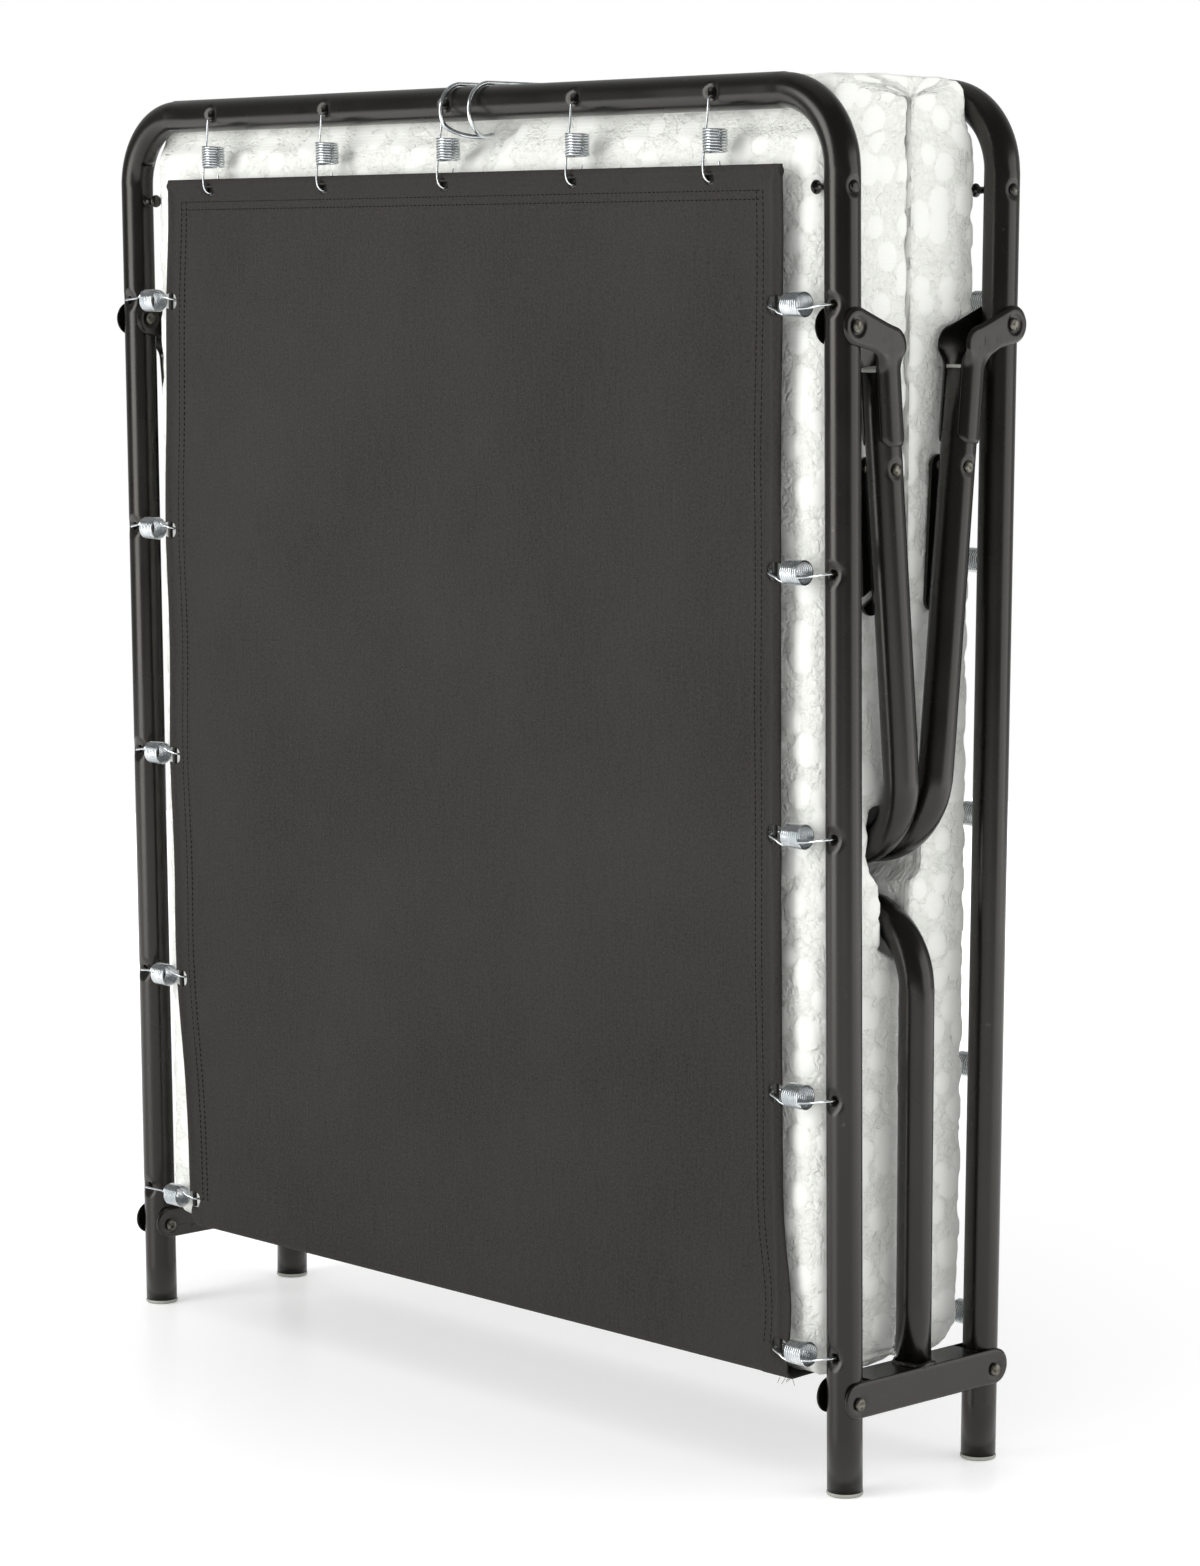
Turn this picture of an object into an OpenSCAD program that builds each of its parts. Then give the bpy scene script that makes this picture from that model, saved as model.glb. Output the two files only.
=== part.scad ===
// Folding cot, standing folded with its foam mattress stored between the two halves.
// X runs across the bed, Y from the front half to the back half, Z up from the floor.

/* [Frame] */
// Distance between the post axes of one half
post_span = 775; // [600:5:900]
// Outer diameter of every frame and leg tube
tube_d = 25; // [22:0.5:28]
// Wall of the tubes
tube_wall = 1.5; // [1:0.25:2.5]
// Bend radius of the tubes, at the axis
bend_r = 54; // [45:1:70]
// Height of the top bar's axis above the leg pivots, along the post
bar_over_pivot = 158; // [150:1:190]
// Lean of each half outward from the vertical, in degrees
splay = 0.7; // [0.2:0.1:1]

/* [Hinge] */
// Height of the fold rivets above the floor
fold_z = 66.6; // [62:0.2:67.4]
// Distance of each fold rivet from the middle plane
fold_y = 69.8; // [69:0.2:76]
// Height of a hinge channel's side plates
channel_h = 25.2; // [25:0.2:30]
// Sheet thickness of the hinge channels
channel_t = 1.8; // [1.2:0.1:2.2]
// Gap between a tube and the plates that straddle it, each side
plate_gap = 0.5; // [0.4:0.05:1]

/* [Legs] */
// Lean of an opened leg against the upright, in degrees, which sets the height of the bed
leg_stand = 25.5449; // [24:0.0001:27]
// Distance between the crossbar axes of the centre leg and the folded legs above it
crossbar_gap = 37.6; // [34:0.2:60]
// Distance of a leg tube's axis from its pivot
leg_offset = 33.5; // [33:0.25:36]
// Distance from the leg pivot down to the crossbar's axis, along the leg
leg_drop = 368; // [358:1:372]
// Gap between the crossbars of the two folded legs, which lean towards each other
legs_gap = 0.496; // [0.4:0.002:3]
// Distance from the leg pivot down to the plug's top face, along the leg
leg_end_drop = 31; // [30:0.5:34]
// Thickness of the pressed bracket plates
bracket_t = 2; // [1.5:0.25:2.5]
// Length of the half-round shell of a bracket plate
shell_len = 51; // [40:1:56]

/* [Stays] */
// Distance from the leg pivot down to the stay rivet, along the leg
stay_drop = 100.5; // [98:0.5:106]
// Height of the stay peg above the leg pivot
peg_rise = 92.6; // [90:0.2:95]
// Width of a stay bar
stay_w = 16; // [14:0.5:18]
// Thickness of a stay bar
stay_t = 2.5; // [2:0.25:3]
// Length of a stay bar beyond its hook notch
stay_tip = 14.5; // [13:0.5:18]
// Lean of a hanging stay against its leg, in degrees
stay_lean = 2; // [0:0.5:3]
// Diameter of the pegs' stems
peg_d = 5; // [4:0.5:6]
// Diameter of the pegs' heads
peg_head_d = 10; // [8:0.5:12]

/* [Springs] */
// Outer diameter of the spring coils
coil_d = 17.5; // [15:0.5:19]
// Length of the spring coils
coil_len = 19; // [16:1:20]
// Diameter of the spring wire
spring_wire = 2; // [1.6:0.2:2.2]
// Distance from the highest post spring up to the top hem rod
spring_top_gap = 89; // [60:1:120]
// Height of the lowest post spring above the fold rivet
spring_rise = 31.9; // [30:0.5:40]
// Distance between the springs of the top bar
top_spring_pitch = 138; // [120:1:145]
// Springs on each post
post_springs = 5; // [3:1:5]
// Springs on the top bar
top_springs = 5; // [3:2:5]

/* [Sheet] */
// Distance from the post axes to the hem rods, which sets the width of the sheet
hem_gap = 50.5; // [48:0.5:56]
// Distance from the top bar's axis down to the top hem rod
top_hem_gap = 54.5; // [50:0.5:60]
// Diameter of the hem rods
rod_d = 4; // [3:0.5:4.5]
// Distance from a hem rod to the edge of the sheet
hem_w = 5; // [4:0.5:7]
// Thickness of the woven sheet
sheet_t = 1.6; // [1:0.2:2]

/* [Mattress] */
// Gap between the mattress's ends and the heads of the stay pegs
mattress_gap = 1.5; // [0.5:0.5:30]
// Lean of its outer faces outward from the vertical, in degrees
mattress_lean = 0.3; // [0:0.1:0.7]
// Gap between its top fold and the latch's wires
mattress_top_gap = 1.2; // [0.4:0.2:40]

/* [Latch] */
// Distance of the latch's middle from the middle of the bar
latch_x = 19; // [15:1:60]
// Distance between its two wires
latch_gap = 31; // [26:1:34]
// Diameter of its wire
latch_wire = 3; // [2.5:0.25:3.5]
// Radius of its loops, at the wire's middle
latch_r = 19.3; // [18.6:0.1:21]

/* [Fittings] */
// Diameter of the rivets that carry a joint
rivet_d = 6; // [5:0.5:7]
// Diameter of the rivet heads
rivet_head_d = 9; // [8:0.5:11]
// Thickness of the caps and plugs beyond the tube ends
cap_rim = 3; // [2:0.25:4]

/* [Hidden] */
$fn = 48;
FRONT = -1;
BACK = 1;
LEFT = -1;
RIGHT = 1;
SIDES = [LEFT, RIGHT];

black = "#1c1c1a";
cap_grey = "#8f908c";
zinc = "#c4c8c8";
rivet_grey = "#8a8b86";
cloth = "#3a3937";
cover = "#e8e8e5";

eps = 0.01;                // overrun of a cut past the face that it opens
fit = 0.2;                 // clearance of a rivet in its hole, each side
weld_gap = 0.1;            // seat of a welded or pressed-in piece
soft_gap = 0.3;            // clearance between a soft piece and its neighbour

post_x = post_span / 2;
tube_r = tube_d / 2;
bore_r = tube_r - tube_wall;
foot_drop = fold_z / cos(splay);
// The centre leg's crossbar is level with those of the opened legs, and below them when folded.
leg_reach = norm([leg_offset, leg_drop]);
center_leg_z = fold_z + leg_reach * cos(leg_stand);
leg_pivot_rise = center_leg_z - fold_z + crossbar_gap + leg_drop;
bar_rise = leg_pivot_rise + bar_over_pivot;
leg_lean = asin((fold_y + leg_pivot_rise * sin(splay) - tube_r - legs_gap / 2) / leg_reach)
    - atan2(leg_offset, leg_drop) - splay;
bar_z = fold_z + bar_rise * cos(splay);
bar_y = fold_y + bar_rise * sin(splay);

plate_in = tube_r + plate_gap;           // from a post's axis to the inner face of a plate beside it
web_gap = 0.6;                           // between the web's underside and the top of a tube laid flat
web_top = fold_z + tube_r + web_gap + channel_t;
channel_mid_z = web_top - channel_h / 2;
channel_end_y = fold_y + 1;
web_end = tube_r + 0.8;                  // from the fold rivet to the web's edge

leg_angle = leg_lean + atan2(leg_offset, leg_drop);
leg_open = 90 + leg_stand - leg_angle;
stay_reach = norm([leg_offset, stay_drop]);
stay_angle = leg_lean + atan2(leg_offset, stay_drop);
stay_len = sqrt(pow(stay_reach, 2) + pow(peg_rise, 2)
    - 2 * stay_reach * peg_rise * cos(180 - stay_angle - leg_open));

ear_rim = 8.9;                            // plate beyond the rivet's head
ear_r = rivet_head_d / 2 + ear_rim;
ear_arm_r = 10;                           // the round shoulder of the ear over the leg
ear_arm = [leg_offset + 0.5, 17 - leg_end_drop];
shell_half = 10.7;                        // half the chord that a shell covers
shell_corner = 7;
shell_out = tube_r + bracket_t - weld_gap;
plug_rim = cap_rim - 0.5;
plug_depth = 12;
cap_depth = 15;
stay_in = plate_in + bracket_t + 1;       // from the leg's axis to the stay's outer face
stay_out = stay_in + stay_t;
stay_gap = 0.2;                           // between a stay and the collar or head beside it
peg_head_in = stay_out + 4;
peg_head_t = 4;
stay_head_t = 2;
fold_head_t = 2.4;
leg_head_t = 0.9;
outer_head_t = 1.2;                       // the flat foot of a rivet's outer head
outer_dome_t = 1;                         // the smaller step on it
head_step = 1.2;                          // by which that step is smaller
notch_w = peg_d + 1;
notch_slant = 28;                         // lean of the notch towards the stay's tip

sheet_y = tube_r + spring_wire / 2 + 0.3; // from the post axes out to the sheet's middle
rod_x = post_x - hem_gap;
rod_top = bar_rise - top_hem_gap;
sheet_x = rod_x + hem_w;
sheet_top = rod_top + hem_w;
sheet_low = 25.4;                         // lower edge of a panel, above the fold rivets
spring_pitch = (rod_top - spring_top_gap - spring_rise) / (post_springs - 1);
hem_r = rod_d / 2 + 1.2;
rod_bore_r = rod_d / 2 + 0.15;
notch_len = 12;                           // length of the gap in the hem at a spring
rod_low = sheet_low + soft_gap;
corner_gap = 8;                           // between the ends of a side rod and the top rod
coil_start = 10;                          // from the hem rod to the coil
hole_d = 7;
hook_r = 2.5;
hook_depth = 8;
hook_lap = 0.4;                           // overrun of a hook's straight ends into its bend
ring_r = rod_d / 2 + spring_wire / 2 + 0.3;

center_low = 74.4;                        // underside of the sheet below the mattress
center_top = fold_z + sheet_low - soft_gap;
center_y = fold_y + sheet_y + 0.2;
center_bend = 10;

slit = 1.5;                               // half the gap between the mattress's two layers
mattress_low = center_low + sheet_t + soft_gap;
mattress_end_r = 26;
mattress_low_y = fold_y + sheet_y - coil_d / 2 - soft_gap;
mattress_x = post_x - peg_head_in - peg_head_t - mattress_gap;
fold_shoulder_z = bar_z - tube_r - 26;
mattress_y = mattress_low_y + (fold_shoulder_z - mattress_low - mattress_end_r) * tan(mattress_lean);
fold_y_half = bar_y - tube_r - 2;
pocket_y = 2 * tube_r + 3;
pocket_top = fold_z + leg_pivot_rise - leg_drop + tube_d + 12;
pocket_low = center_leg_z - bend_r - 3
    + sqrt(max(0, pow(bend_r - tube_r, 2) - pow(mattress_x - post_x + bend_r, 2)));

latch_drop = latch_r - latch_wire / 2 - tube_r - 0.4;
latch_z = bar_z - latch_drop;
mattress_top = latch_z + latch_r - latch_wire / 2 - mattress_top_gap;
latch_hook_low = 9;
latch_lap = 0.6;                          // from a bead's middle to the wires' ends inside it
latch_bead = 0.2;                         // by which a bead is thicker than the wire
latch_room = latch_gap + latch_wire + 4;  // width of the mattress's notch under the latch

// Runs from a half's own frame to the cot's: its fold rivet is at the origin, +Y points to the middle.
module half(side) {
    mirror([0, side == BACK ? 1 : 0, 0])
        translate([0, -fold_y, fold_z])
            rotate([splay, 0, 0])
                children();
}

// Runs from a leg's own frame, with its pivot at the origin and the leg pointing down.
module leg(side) {
    half(side) translate([0, 0, leg_pivot_rise]) rotate([leg_lean, 0, 0]) children();
}

// Runs from a stay's own frame, with its rivet at the origin and the bar pointing down.
module stay(side) {
    leg(side) translate([0, leg_offset, -stay_drop]) rotate([-stay_lean, 0, 0]) children();
}

// A cylinder along X from x0 to x1.
module rod_along_x(x0, x1, r) {
    translate([min(x0, x1), 0, 0]) rotate([0, 90, 0]) cylinder(h = abs(x1 - x0), r = r);
}

// A cylinder along Y from y0 to y1.
module rod_along_y(y0, y1, r) {
    translate([0, max(y0, y1), 0]) rotate([90, 0, 0]) cylinder(h = abs(y1 - y0), r = r);
}

// A round bar bent to an upside-down U in the XZ plane.
module bent_bar(end_z, top_z, r) {
    for (side = SIDES) mirror([side == LEFT ? 1 : 0, 0, 0]) {
        translate([post_x, 0, end_z]) cylinder(h = top_z - bend_r - end_z, r = r);
        translate([post_x - bend_r, 0, top_z - bend_r]) rotate([90, 0, 0])
            rotate_extrude(angle = 90) translate([bend_r, 0]) circle(r = r);
    }
    translate([0, 0, top_z]) rod_along_x(bend_r - post_x, post_x - bend_r, r);
}

module bent_tube(end_z, top_z) {
    difference() {
        bent_bar(end_z, top_z, tube_r);
        bent_bar(end_z - eps, top_z, bore_r);
    }
}

// A rivet shank along X between two faces, with a domed head at its outer end and a flat one inside.
module rivet(x_in, x_out, shank_d, head_d, head_h) {
    rod_along_x(x_in - head_h, x_out + eps, shank_d / 2);
    rod_along_x(x_in - head_h, x_in, head_d / 2);
    rod_along_x(x_out, x_out + head_h / 2, head_d / 2);
    rod_along_x(x_out + head_h / 2 - eps, x_out + head_h, head_d / 2 - head_step);
}

// The head of a peg or stay rivet on the outer face of its tube.
module outer_head() {
    rod_along_x(tube_r, tube_r + outer_head_t, rivet_head_d / 2);
    rod_along_x(tube_r + outer_head_t - eps, tube_r + outer_head_t + outer_dome_t,
        rivet_head_d / 2 - head_step);
}

module hinge_channel(side) {
    translate([side * post_x, 0, 0]) {
        for (face = SIDES)
            translate([face * (plate_in + channel_t / 2) - channel_t / 2, 0, 0])
                difference() {
                    union() {
                        translate([0, -channel_end_y, channel_mid_z - channel_h / 2])
                            cube([channel_t, 2 * channel_end_y, channel_h]);
                        for (end = [FRONT, BACK]) translate([0, end * channel_end_y, channel_mid_z])
                            rod_along_x(0, channel_t, channel_h / 2);
                    }
                    for (end = [FRONT, BACK]) translate([0, end * fold_y, fold_z])
                        rod_along_x(-eps, channel_t + eps, rivet_d / 2 + fit);
                }
        translate([-plate_in - channel_t / 2, web_end - fold_y, web_top - channel_t])
            cube([2 * plate_in + channel_t, 2 * (fold_y - web_end), channel_t]);
    }
}

module hinge_channel_left() {
    color(black) hinge_channel(LEFT);
}

module hinge_channel_right() {
    color(black) hinge_channel(RIGHT);
}

module center_leg() {
    color(black) bent_tube(web_top, center_leg_z);
}

module fold_rivets() {
    color(rivet_grey)
        for (side = SIDES, end = [FRONT, BACK])
            mirror([side == LEFT ? 1 : 0, 0, 0])
                translate([post_x, end * fold_y, fold_z])
                    rivet(-plate_in - channel_t, plate_in + channel_t, rivet_d, rivet_head_d, fold_head_t);
}

// The turn of the sheet under the mattress, a flat trough with rounded corners.
module sheet_center() {
    corner_y = center_y - center_bend;
    corner_z = center_low + center_bend;
    color(cloth) translate([-sheet_x, 0, 0]) {
        translate([0, -corner_y, center_low]) cube([2 * sheet_x, 2 * corner_y, sheet_t]);
        for (end = [FRONT, BACK]) mirror([0, end == FRONT ? 1 : 0, 0]) {
            translate([0, center_y - sheet_t, corner_z])
                cube([2 * sheet_x, sheet_t, center_top - corner_z]);
            translate([0, corner_y, corner_z]) rotate([0, 90, 0])
                rotate_extrude(angle = 90) translate([center_bend - sheet_t, 0])
                    square([sheet_t, 2 * sheet_x]);
        }
    }
}

// Places of the springs of one half as [x, z, turn about Y], from the hem rod towards the tube.
function spring_places() = concat(
    [for (side = SIDES, i = [0 : post_springs - 1])
        [side * rod_x, spring_rise + i * spring_pitch, side == LEFT ? 180 : 0]],
    [for (i = [0 : top_springs - 1])
        [(i - (top_springs - 1) / 2) * top_spring_pitch, rod_top, -90]]);

module frame_tube(side) {
    color(black) half(side) difference() {
        bent_tube(cap_rim - foot_drop, bar_rise);
        for (place = spring_places()) {
            reach = place[2] == -90 ? top_hem_gap : hem_gap;
            translate([place[0], 0, place[1]]) rotate([0, place[2], 0]) translate([reach, 0, 0])
                rod_along_y(-tube_r - 1, -bore_r / 2, hole_d / 2);
        }
        for (end = SIDES) translate([end * post_x, 0, 0]) {
            for (z = [0, leg_pivot_rise]) translate([0, 0, z])
                rod_along_x(-tube_d, tube_d, rivet_d / 2 + fit);
            translate([0, 0, leg_pivot_rise + peg_rise]) rod_along_x(-tube_d, tube_d, peg_d / 2 + fit);
        }
    }
}

module front_frame_tube() {
    frame_tube(FRONT);
}

module back_frame_tube() {
    frame_tube(BACK);
}

module foot_caps(side) {
    color(cap_grey) difference() {
        half(side) for (end = SIDES) translate([end * post_x, 0, 0]) {
            translate([0, 0, -foot_drop - 1]) cylinder(h = cap_rim + 1, r = tube_r);
            translate([0, 0, cap_rim - foot_drop - eps]) cylinder(h = cap_depth, r = bore_r - weld_gap);
        }
        translate([-post_span, -2 * fold_y, -50]) cube([2 * post_span, 4 * fold_y, 50]);
    }
}

module front_foot_caps() {
    foot_caps(FRONT);
}

module back_foot_caps() {
    foot_caps(BACK);
}

// One extension spring along +X, its rod at the origin and its hole in the tube at the given reach.
// The close-wound coil is a plain sleeve.
module spring(reach) {
    wire_r = spring_wire / 2;
    straight_r = wire_r - weld_gap;
    mean_r = coil_d / 2 - wire_r;
    first_cross = coil_start + wire_r + hook_lap;
    last_cross = coil_start + coil_len - wire_r - hook_lap;
    translate([coil_start, 0, 0]) rotate([0, 90, 0]) rotate_extrude()
        translate([mean_r - wire_r, 0]) square([spring_wire, coil_len]);
    rotate_extrude($fn = 24) translate([ring_r, 0]) circle(r = wire_r, $fn = 16);
    rod_along_x(ring_r, first_cross, straight_r);
    for (x = [first_cross, last_cross])
        translate([x, 0, -mean_r]) cylinder(h = 2 * mean_r, r = wire_r, $fn = 16);
    rod_along_x(last_cross, reach - hook_r + hook_lap, straight_r);
    translate([reach - hook_r, hook_r, 0]) rotate([0, 0, -90])
        rotate_extrude(angle = 90) translate([hook_r, 0]) circle(r = wire_r, $fn = 16);
    translate([reach, 0, 0]) rod_along_y(hook_r - hook_lap, hook_depth, straight_r);
}

module springs(side) {
    color(zinc) half(side)
        for (place = spring_places())
            translate([place[0], -sheet_y, place[1]]) rotate([0, place[2], 0])
                mirror([0, 0, place[2] == 180 ? 1 : 0])
                    spring(place[2] == -90 ? top_hem_gap : hem_gap);
}

module front_springs() {
    springs(FRONT);
}

module back_springs() {
    springs(BACK);
}

// The three hem rods, or the pockets round them, as plain bars of one radius.
module hem_bars(r, more = 0) {
    top_x = rod_x - corner_gap;
    for (side = SIDES)
        translate([side * rod_x, 0, rod_low - more])
            cylinder(h = rod_top - corner_gap - rod_low + 2 * more, r = r);
    translate([0, 0, rod_top]) rod_along_x(-top_x - more, top_x + more, r);
}

module hem_rods(side) {
    color(zinc) half(side) translate([0, -sheet_y, 0]) hem_bars(rod_d / 2);
}

module front_hem_rods() {
    hem_rods(FRONT);
}

module back_hem_rods() {
    hem_rods(BACK);
}

module sheet(side) {
    color(cloth) half(side) translate([0, -sheet_y, 0]) difference() {
        union() {
            translate([-sheet_x, -sheet_t / 2, sheet_low])
                cube([2 * sheet_x, sheet_t, sheet_top - sheet_low]);
            intersection() {
                hem_bars(hem_r, hem_w);
                translate([-sheet_x, -hem_r, sheet_low])
                    cube([2 * sheet_x, 2 * hem_r, sheet_top - sheet_low]);
            }
        }
        hem_bars(rod_bore_r, 1);
        for (place = spring_places())
            translate([place[0], 0, place[1]]) rotate([0, place[2], 0])
                translate([-ring_r - spring_wire, -hem_r - 1, -notch_len / 2])
                    cube([ring_r + spring_wire + hem_w + 1, 2 * hem_r + 2, notch_len]);
    }
}

module front_sheet() {
    sheet(FRONT);
}

module back_sheet() {
    sheet(BACK);
}

module stay_pegs(side) {
    color(black) half(side)
        for (end = SIDES) mirror([end == LEFT ? 1 : 0, 0, 0])
            translate([post_x, 0, leg_pivot_rise + peg_rise]) {
                rod_along_x(-peg_head_in - eps, tube_r, peg_d / 2);
                rod_along_x(-peg_head_in - peg_head_t, -peg_head_in, peg_head_d / 2);
                outer_head();
            }
}

module front_stay_pegs() {
    stay_pegs(FRONT);
}

module back_stay_pegs() {
    stay_pegs(BACK);
}

module leg_rivets(side) {
    color(rivet_grey) half(side)
        for (end = SIDES) mirror([end == LEFT ? 1 : 0, 0, 0])
            translate([post_x, 0, leg_pivot_rise])
                rivet(-plate_in - bracket_t, plate_in + bracket_t, rivet_d, rivet_head_d, leg_head_t);
}

module front_leg_rivets() {
    leg_rivets(FRONT);
}

module back_leg_rivets() {
    leg_rivets(BACK);
}

module leg_tube(side) {
    color(black) leg(side) translate([0, leg_offset, 0]) difference() {
        mirror([0, 0, 1]) bent_tube(leg_end_drop + plug_rim, leg_drop);
        for (end = SIDES) translate([end * post_x, 0, -stay_drop])
            rod_along_x(-tube_d, tube_d, peg_d / 2 + fit);
    }
}

module front_leg_tube() {
    leg_tube(FRONT);
}

module back_leg_tube() {
    leg_tube(BACK);
}

// The flat ear of a bracket plate in the YZ plane: a round end about the pivot that runs into the shell.
module ear_outline() {
    span = norm(ear_arm);
    aim = atan2(ear_arm[1], ear_arm[0]);
    flank = acos((ear_r - ear_arm_r) / span);
    circle(r = ear_r);
    translate(ear_arm) circle(r = ear_arm_r);
    polygon([
        ear_r * [cos(aim + flank), sin(aim + flank)],
        ear_arm + ear_arm_r * [cos(aim + flank), sin(aim + flank)],
        ear_arm + ear_arm_r * [cos(aim - flank), sin(aim - flank)],
        ear_r * [cos(aim - flank), sin(aim - flank)]]);
    translate([leg_offset - shell_half, -leg_end_drop - 6])
        square([2 * shell_half - 0.1, leg_end_drop + 6 + ear_arm[1]]);
}

// The side view of the shell, with its lower corners rounded.
module shell_outline() {
    low = -leg_end_drop - shell_len;
    translate([leg_offset - shell_half, low + shell_corner])
        square([2 * shell_half, shell_len - shell_corner]);
    translate([leg_offset - shell_half + shell_corner, low])
        square([2 * (shell_half - shell_corner), shell_len]);
    for (end = SIDES)
        translate([leg_offset + end * (shell_half - shell_corner), low + shell_corner])
            circle(r = shell_corner);
}

// Extrudes a YZ outline along X from x0 to x1.
module plate_along_x(x0, x1) {
    translate([x0, 0, 0]) rotate([90, 0, 90]) linear_extrude(height = x1 - x0) children();
}

module bracket_plate() {
    difference() {
        union() {
            plate_along_x(plate_in, plate_in + bracket_t) ear_outline();
            intersection() {
                translate([0, leg_offset, -leg_end_drop - shell_len - 1]) difference() {
                    cylinder(h = shell_len + 1, r = shell_out);
                    translate([0, 0, -eps]) cylinder(h = shell_len + 2, r = tube_r + weld_gap);
                }
                plate_along_x(0, tube_d) shell_outline();
            }
        }
        rod_along_x(0, tube_d, rivet_d / 2 + fit);
    }
}

module leg_brackets(side) {
    color(black) leg(side)
        for (end = SIDES, face = SIDES)
            translate([end * post_x, 0, 0]) mirror([face == LEFT ? 1 : 0, 0, 0]) bracket_plate();
}

module front_leg_brackets() {
    leg_brackets(FRONT);
}

module back_leg_brackets() {
    leg_brackets(BACK);
}

module leg_plugs(side) {
    color(cap_grey) leg(side)
        for (end = SIDES) translate([end * post_x, leg_offset, -leg_end_drop - plug_rim]) {
            cylinder(h = plug_rim, r = tube_r);
            translate([0, 0, -plug_depth]) cylinder(h = plug_depth + eps, r = bore_r - weld_gap);
        }
}

module front_leg_plugs() {
    leg_plugs(FRONT);
}

module back_leg_plugs() {
    leg_plugs(BACK);
}

module stay_rivets(side) {
    color(rivet_grey) leg(side)
        for (end = SIDES) mirror([end == LEFT ? 1 : 0, 0, 0])
            translate([post_x, leg_offset, -stay_drop]) {
                rod_along_x(-stay_out - stay_gap - stay_head_t, tube_r, peg_d / 2);
                rod_along_x(-stay_in + stay_gap, -tube_r, rivet_head_d / 2);
                rod_along_x(-stay_out - stay_gap - stay_head_t, -stay_out - stay_gap, rivet_head_d / 2);
                outer_head();
            }
}

module front_stay_rivets() {
    stay_rivets(FRONT);
}

module back_stay_rivets() {
    stay_rivets(BACK);
}

// The stay in the YZ plane, with the hook notch open towards the post.
module stay_outline() {
    r = stay_w / 2;
    end = stay_len + stay_tip - r;
    difference() {
        union() {
            circle(r = r);
            translate([0, -end]) circle(r = r);
            translate([-r, -end]) square([stay_w, end]);
        }
        circle(r = peg_d / 2 + fit);
        translate([0, -stay_len]) {
            circle(r = notch_w / 2 + weld_gap);
            rotate(notch_slant) translate([-stay_w, -notch_w / 2]) square([stay_w, notch_w]);
        }
    }
}

module stay_bar(side, end) {
    color(black) stay(side) mirror([end == LEFT ? 1 : 0, 0, 0])
        translate([post_x, 0, 0]) plate_along_x(-stay_out, -stay_in) stay_outline();
}

module front_stay_left() {
    stay_bar(FRONT, LEFT);
}

module front_stay_right() {
    stay_bar(FRONT, RIGHT);
}

module back_stay_left() {
    stay_bar(BACK, LEFT);
}

module back_stay_right() {
    stay_bar(BACK, RIGHT);
}

// An arc of the latch's wire in the YZ plane, from angle a0 to a1 counted from +Y towards +Z.
module wire_arc(a0, a1) {
    rotate([90, 0, 90]) rotate([0, 0, a0])
        rotate_extrude(angle = a1 - a0) translate([latch_r, 0]) circle(r = latch_wire / 2);
}

// A cross wire of the latch, a little slimmer than the wires that it joins.
module latch_cross() {
    reach = latch_gap / 2 + latch_wire / 2;
    rod_along_x(-reach, reach, latch_wire / 2 - weld_gap);
}

// The bead where a straight wire of the latch meets an arc.
module latch_bead(y, z) {
    translate([0, y, z]) sphere(r = latch_wire / 2 + latch_bead);
}

module latch_wire() {
    loop_end = 305;
    lap_angle = latch_lap / latch_r * 180 / PI;
    color(zinc) translate([latch_x, 0, 0]) {
        for (side = SIDES) translate([side * latch_gap / 2, 0, 0]) {
            translate([0, -bar_y, latch_z]) wire_arc(90 + lap_angle, loop_end);
            latch_bead(-bar_y, latch_z + latch_r);
            translate([0, 0, latch_z + latch_r])
                rod_along_y(latch_lap - bar_y, bar_y - latch_lap, latch_wire / 2);
            latch_bead(bar_y, latch_z + latch_r);
            translate([0, bar_y, latch_z]) wire_arc(lap_angle, 90 - lap_angle);
            latch_bead(bar_y + latch_r, latch_z);
            translate([0, bar_y + latch_r, latch_z - latch_hook_low])
                cylinder(h = latch_hook_low - latch_lap, r = latch_wire / 2);
        }
        translate([0, latch_r * cos(loop_end) - bar_y, latch_z + latch_r * sin(loop_end)]) latch_cross();
        translate([0, bar_y + latch_r, latch_z - latch_hook_low]) latch_cross();
    }
}

// One layer of the folded mattress seen from the side, with its lower outer corner rounded.
module layer_outline() {
    corner = [mattress_low_y - mattress_end_r, mattress_low + mattress_end_r];
    polygon([
        [slit, corner[1]], [mattress_low_y, corner[1]],
        [mattress_y, fold_shoulder_z], [slit, fold_shoulder_z]]);
    translate([slit, mattress_low]) square([corner[0] - slit, mattress_end_r + eps]);
    translate(corner) circle(r = mattress_end_r);
}

module mattress() {
    fold_low = fold_shoulder_z - 20;
    color(cover) difference() {
        union() {
            for (end = [FRONT, BACK]) mirror([0, end == FRONT ? 1 : 0, 0])
                plate_along_x(-mattress_x, mattress_x) layer_outline();
            translate([-mattress_x, -fold_y_half, fold_low])
                cube([2 * mattress_x, 2 * fold_y_half, mattress_top - fold_low]);
        }
        translate([-mattress_x - 1, -pocket_y, pocket_low])
            cube([2 * mattress_x + 2, 2 * pocket_y, pocket_top - pocket_low]);
        translate([latch_x - latch_room / 2, -fold_y_half - 1, fold_shoulder_z + 8])
            cube([latch_room, 9, mattress_top - fold_shoulder_z]);
    }
}

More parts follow.
